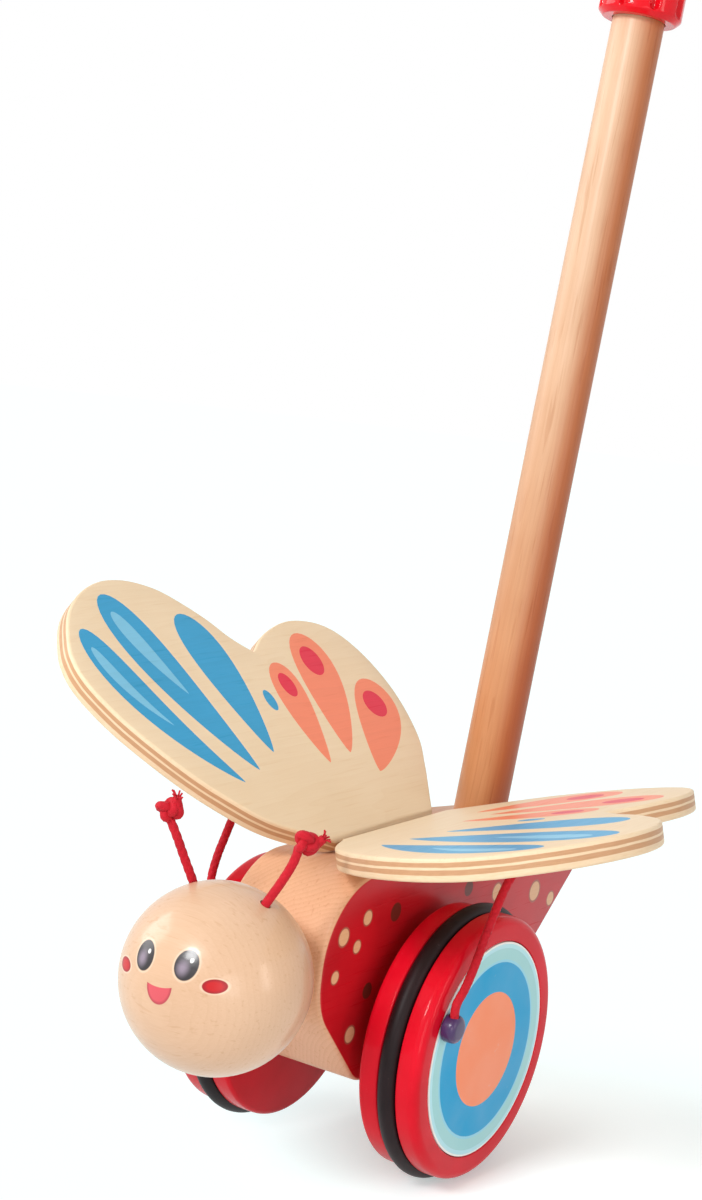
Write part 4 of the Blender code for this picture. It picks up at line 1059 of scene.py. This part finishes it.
def makeWings():
    coats = [plyFinish()] + [inkFinish(name, code) for name, code in wing["inks"].items()]
    reach = hinge["pinRadius"] + gap + hinge["wire"] / 2
    foot = body["corners"][0][1] - hinge["shankDepth"] + gap - hinge["z"]
    # one wire, straight in the body and then bent round into an eye
    circle = [(x, 0.0, z) for x, z in arcPoints((0.0, 0.0), reach, -90.0, 262.0, 40)]
    wire = smoothLine([(0.0, 0.0, foot), (0.0, 0.0, -reach - 0.0005)], 8) + [Vector(spot) for spot in circle[1:]]
    for word, side in sides.items():
        piece = addPiece(f"wing_{word}_printed", wingMesh(side), coats, wingPlace(word), f"wing_{word}")
        cutOut(piece, hingeCutters(word, side))
        for end, y in zip(("front", "rear"), hinge["eyes"]):
            addPiece(f"hinge_eye_{word}_{end}_wire", sweepMesh(wire, hinge["wire"] / 2, 16), finishes["steel"],
                     Matrix.Translation((side * hinge["x"], y, hinge["z"])), sharp=70)


# Link cords from the crank pegs up to the wings

linkCords = {
    "radius": 0.0013, "lowLength": 0.0303,
    "routes": {
        "right": [
            (0.047, -0.0281, 0.0318), (0.0473, -0.0248, 0.0362), (0.0476, -0.0219, 0.0412),
            (0.0481, -0.0199, 0.0468), (0.0487, -0.0182, 0.0525), (0.0492, -0.0158, 0.0585), (0.05, -0.0108, 0.0675),
        ],
        "left": [
            (-0.0467, -0.0203, 0.0398), (-0.0468, -0.0222, 0.0455), (-0.0466, -0.0207, 0.0525),
            (-0.0462, -0.0180, 0.0590), (-0.0456, -0.0131, 0.0700), (-0.0450, -0.0079, 0.0820),
        ],
    },
}


def makeLinkCords(red):
    radius = linkCords["radius"]
    for word, side in sides.items():
        place, middle = wingPlace(word), pegMiddle(word)
        mouth = Vector((side * wing["cordHole"][0], wing["cordHole"][1], -wing["thickness"] / 2))
        start = Vector(linkCords["routes"][word][0]) - middle
        start.x = 0.0
        ends = [place @ (mouth + upward * rise) for rise in (-0.0026, 0.0, wing["cordHoleDepth"] - gap)]
        route = [middle + start.normalized() * gap, *linkCords["routes"][word], *ends]
        line = evenLine(route, cords["step"])
        # the cord is made in two parts, a lower one and an upper one
        cut = next(i for i in range(len(line)) if lineLength(line[:i + 1]) > linkCords["lowLength"])
        for part, run, bodies, end in (("low", line[:cut + 1], (f"wheel_{word}", "chassis"), line[cut]),
                                       ("high", line[cut:], ("chassis", f"wing_{word}"), ends[1])):
            mesh = sweepMesh(run, radius, cords["around"], braid)
            piece = addPiece(f"link_cord_{word}_{part}", mesh, red, sharp=80)
            piece.parent = None
            piece.matrix_world = Matrix()
            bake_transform(piece)


# Stick, collar and knob

def makeStick():
    seat, radius, tenon = stick["seat"], stick["radius"], stick["tenon"]
    wood = woodFinish("stickWood", stick["wood"])
    collarEnd = stick["shows"] + stick["collarLength"]
    half = stick["collarLength"] / 2 - seat
    start = gap - body["socketDepth"]
    shoulder = stick["shows"] + seat - gap - start
    corners = [(0.0, shoulder + half, 0), (tenon, shoulder + half, 0.0005), (tenon, shoulder, 0),
               (radius, shoulder, 0.0004), (radius, 0.0, 0.001), (0.0, 0.0, 0)]
    turned("stick_lower_dowel", corners, 96, wood, alongStick(start))

    foot = half - gap
    start = collarEnd - seat + gap - foot
    shoulder = foot + stick["upperShows"] + seat - 2 * gap
    high = shoulder + stick["knobBore"] - gap
    corners = [(0.0, high, 0), (tenon, high, 0.0005), (tenon, shoulder, 0), (radius, shoulder, 0.0004),
               (radius, foot, 0.0004), (tenon, foot, 0), (tenon, 0.0, 0.0005), (0.0, 0.0, 0)]
    turned("stick_upper_dowel", corners, 96, wood, alongStick(start))

    knob, bore, depth = stick["knobRadius"], tenon + gap, stick["knobBore"]
    lowest = acos(radius / knob)
    flat = knob * sin(lowest)
    profile = arcPoints((0.0, flat), knob, 90.0, -degrees(lowest), 40)
    profile[0] = (0.0, flat + knob)
    profile += [(bore, 0.0), (bore, depth), (0.0, depth)]
    addPiece("handle_knob_painted", latheMesh(profile, 96), finishes["redPaint"],
             alongStick(collarEnd + stick["upperShows"]))


collar = {"chamfer": 0.0017, "rim": 0.0019, "grooves": 8, "grooveWidth": 0.0030, "grooveDepth": 0.0023, "around": 256}


def makeCollar():
    # a moulded sleeve: its skin is a fine grid that sinks into eight grooves
    radius, length, seat = stick["collarRadius"], stick["collarLength"], stick["seat"]
    mouth, tenon, face = stick["radius"] + gap, stick["tenon"] + gap, radius - collar["chamfer"]
    outside = roundCorners([
        (mouth, length, 0), (face, length, 0.0008), (radius, length - collar["chamfer"], 0.001),
        (radius, collar["chamfer"], 0.001), (face, 0.0, 0.0008), (mouth, 0.0, 0),
    ], 15.0)
    skin = []
    for (r1, z1), (r2, z2) in zip(outside, outside[1:]):
        pieces = max(1, round(hypot(r2 - r1, z2 - z1) / 0.0005))
        skin += [(r1 + (r2 - r1) * i / pieces, z1 + (z2 - z1) * i / pieces) for i in range(pieces)]
    inside = [(mouth, 0.0), (mouth, seat), (tenon, seat), (tenon, length - seat), (mouth, length - seat)]
    mesh = latheMesh(skin + inside, collar["around"])
    half, step = collar["grooveWidth"] / 2, 2 * pi / collar["grooves"]
    low, high = collar["rim"] + half, length - collar["rim"] - half
    for vertex in mesh.vertices:
        x, y, z = vertex.co
        out = hypot(x, y)
        if out < stick["radius"] + 0.001:
            continue
        turn = (atan2(y, x) + step / 2) % step - step / 2
        reach = hypot(turn * radius, z - min(max(z, low), high))
        share = min(1.0, max(0.0, (1.25 * half - reach) / (0.75 * half)))
        sink = collar["grooveDepth"] * share * share * (3 - 2 * share)
        vertex.co.x, vertex.co.y = x * (out - sink) / out, y * (out - sink) / out
    addPiece("stick_collar_moulded", mesh, finishes["redPlastic"], alongStick(stick["shows"]), sharp=50)


def finishHiddenNodes():
    # pieces that keep their own shape and only take a finish
    plain = woodFinish("dowelWood", {
        "light": "#dcb68c", "dark": "#b98c60", "pith": (0.02, 0.03, 0.0), "rings": 0.002, "waviness": 1.0,
        "ringStrength": 1.0, "turn": (90, 0, 0), "roughness": 0.5, "lacquer": 0.0,
    })
    keep = dict.fromkeys(("axle_rod", "hinge_pin_left", "hinge_pin_right"), finishes["steel"])
    keep["head_dowel"] = plain
    for name, finish in keep.items():
        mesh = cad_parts[name].data
        mesh.materials.clear()
        mesh.materials.append(finish)


makeBody()
makeHead()
print("body and head made")
redCord = makeAntennas()
makeWheels()
print("antennas and wheels made")
makeWings()
makeLinkCords(redCord)
print("wings and link cords made")
makeStick()
makeCollar()
finishHiddenNodes()
print("stick, collar and knob made")
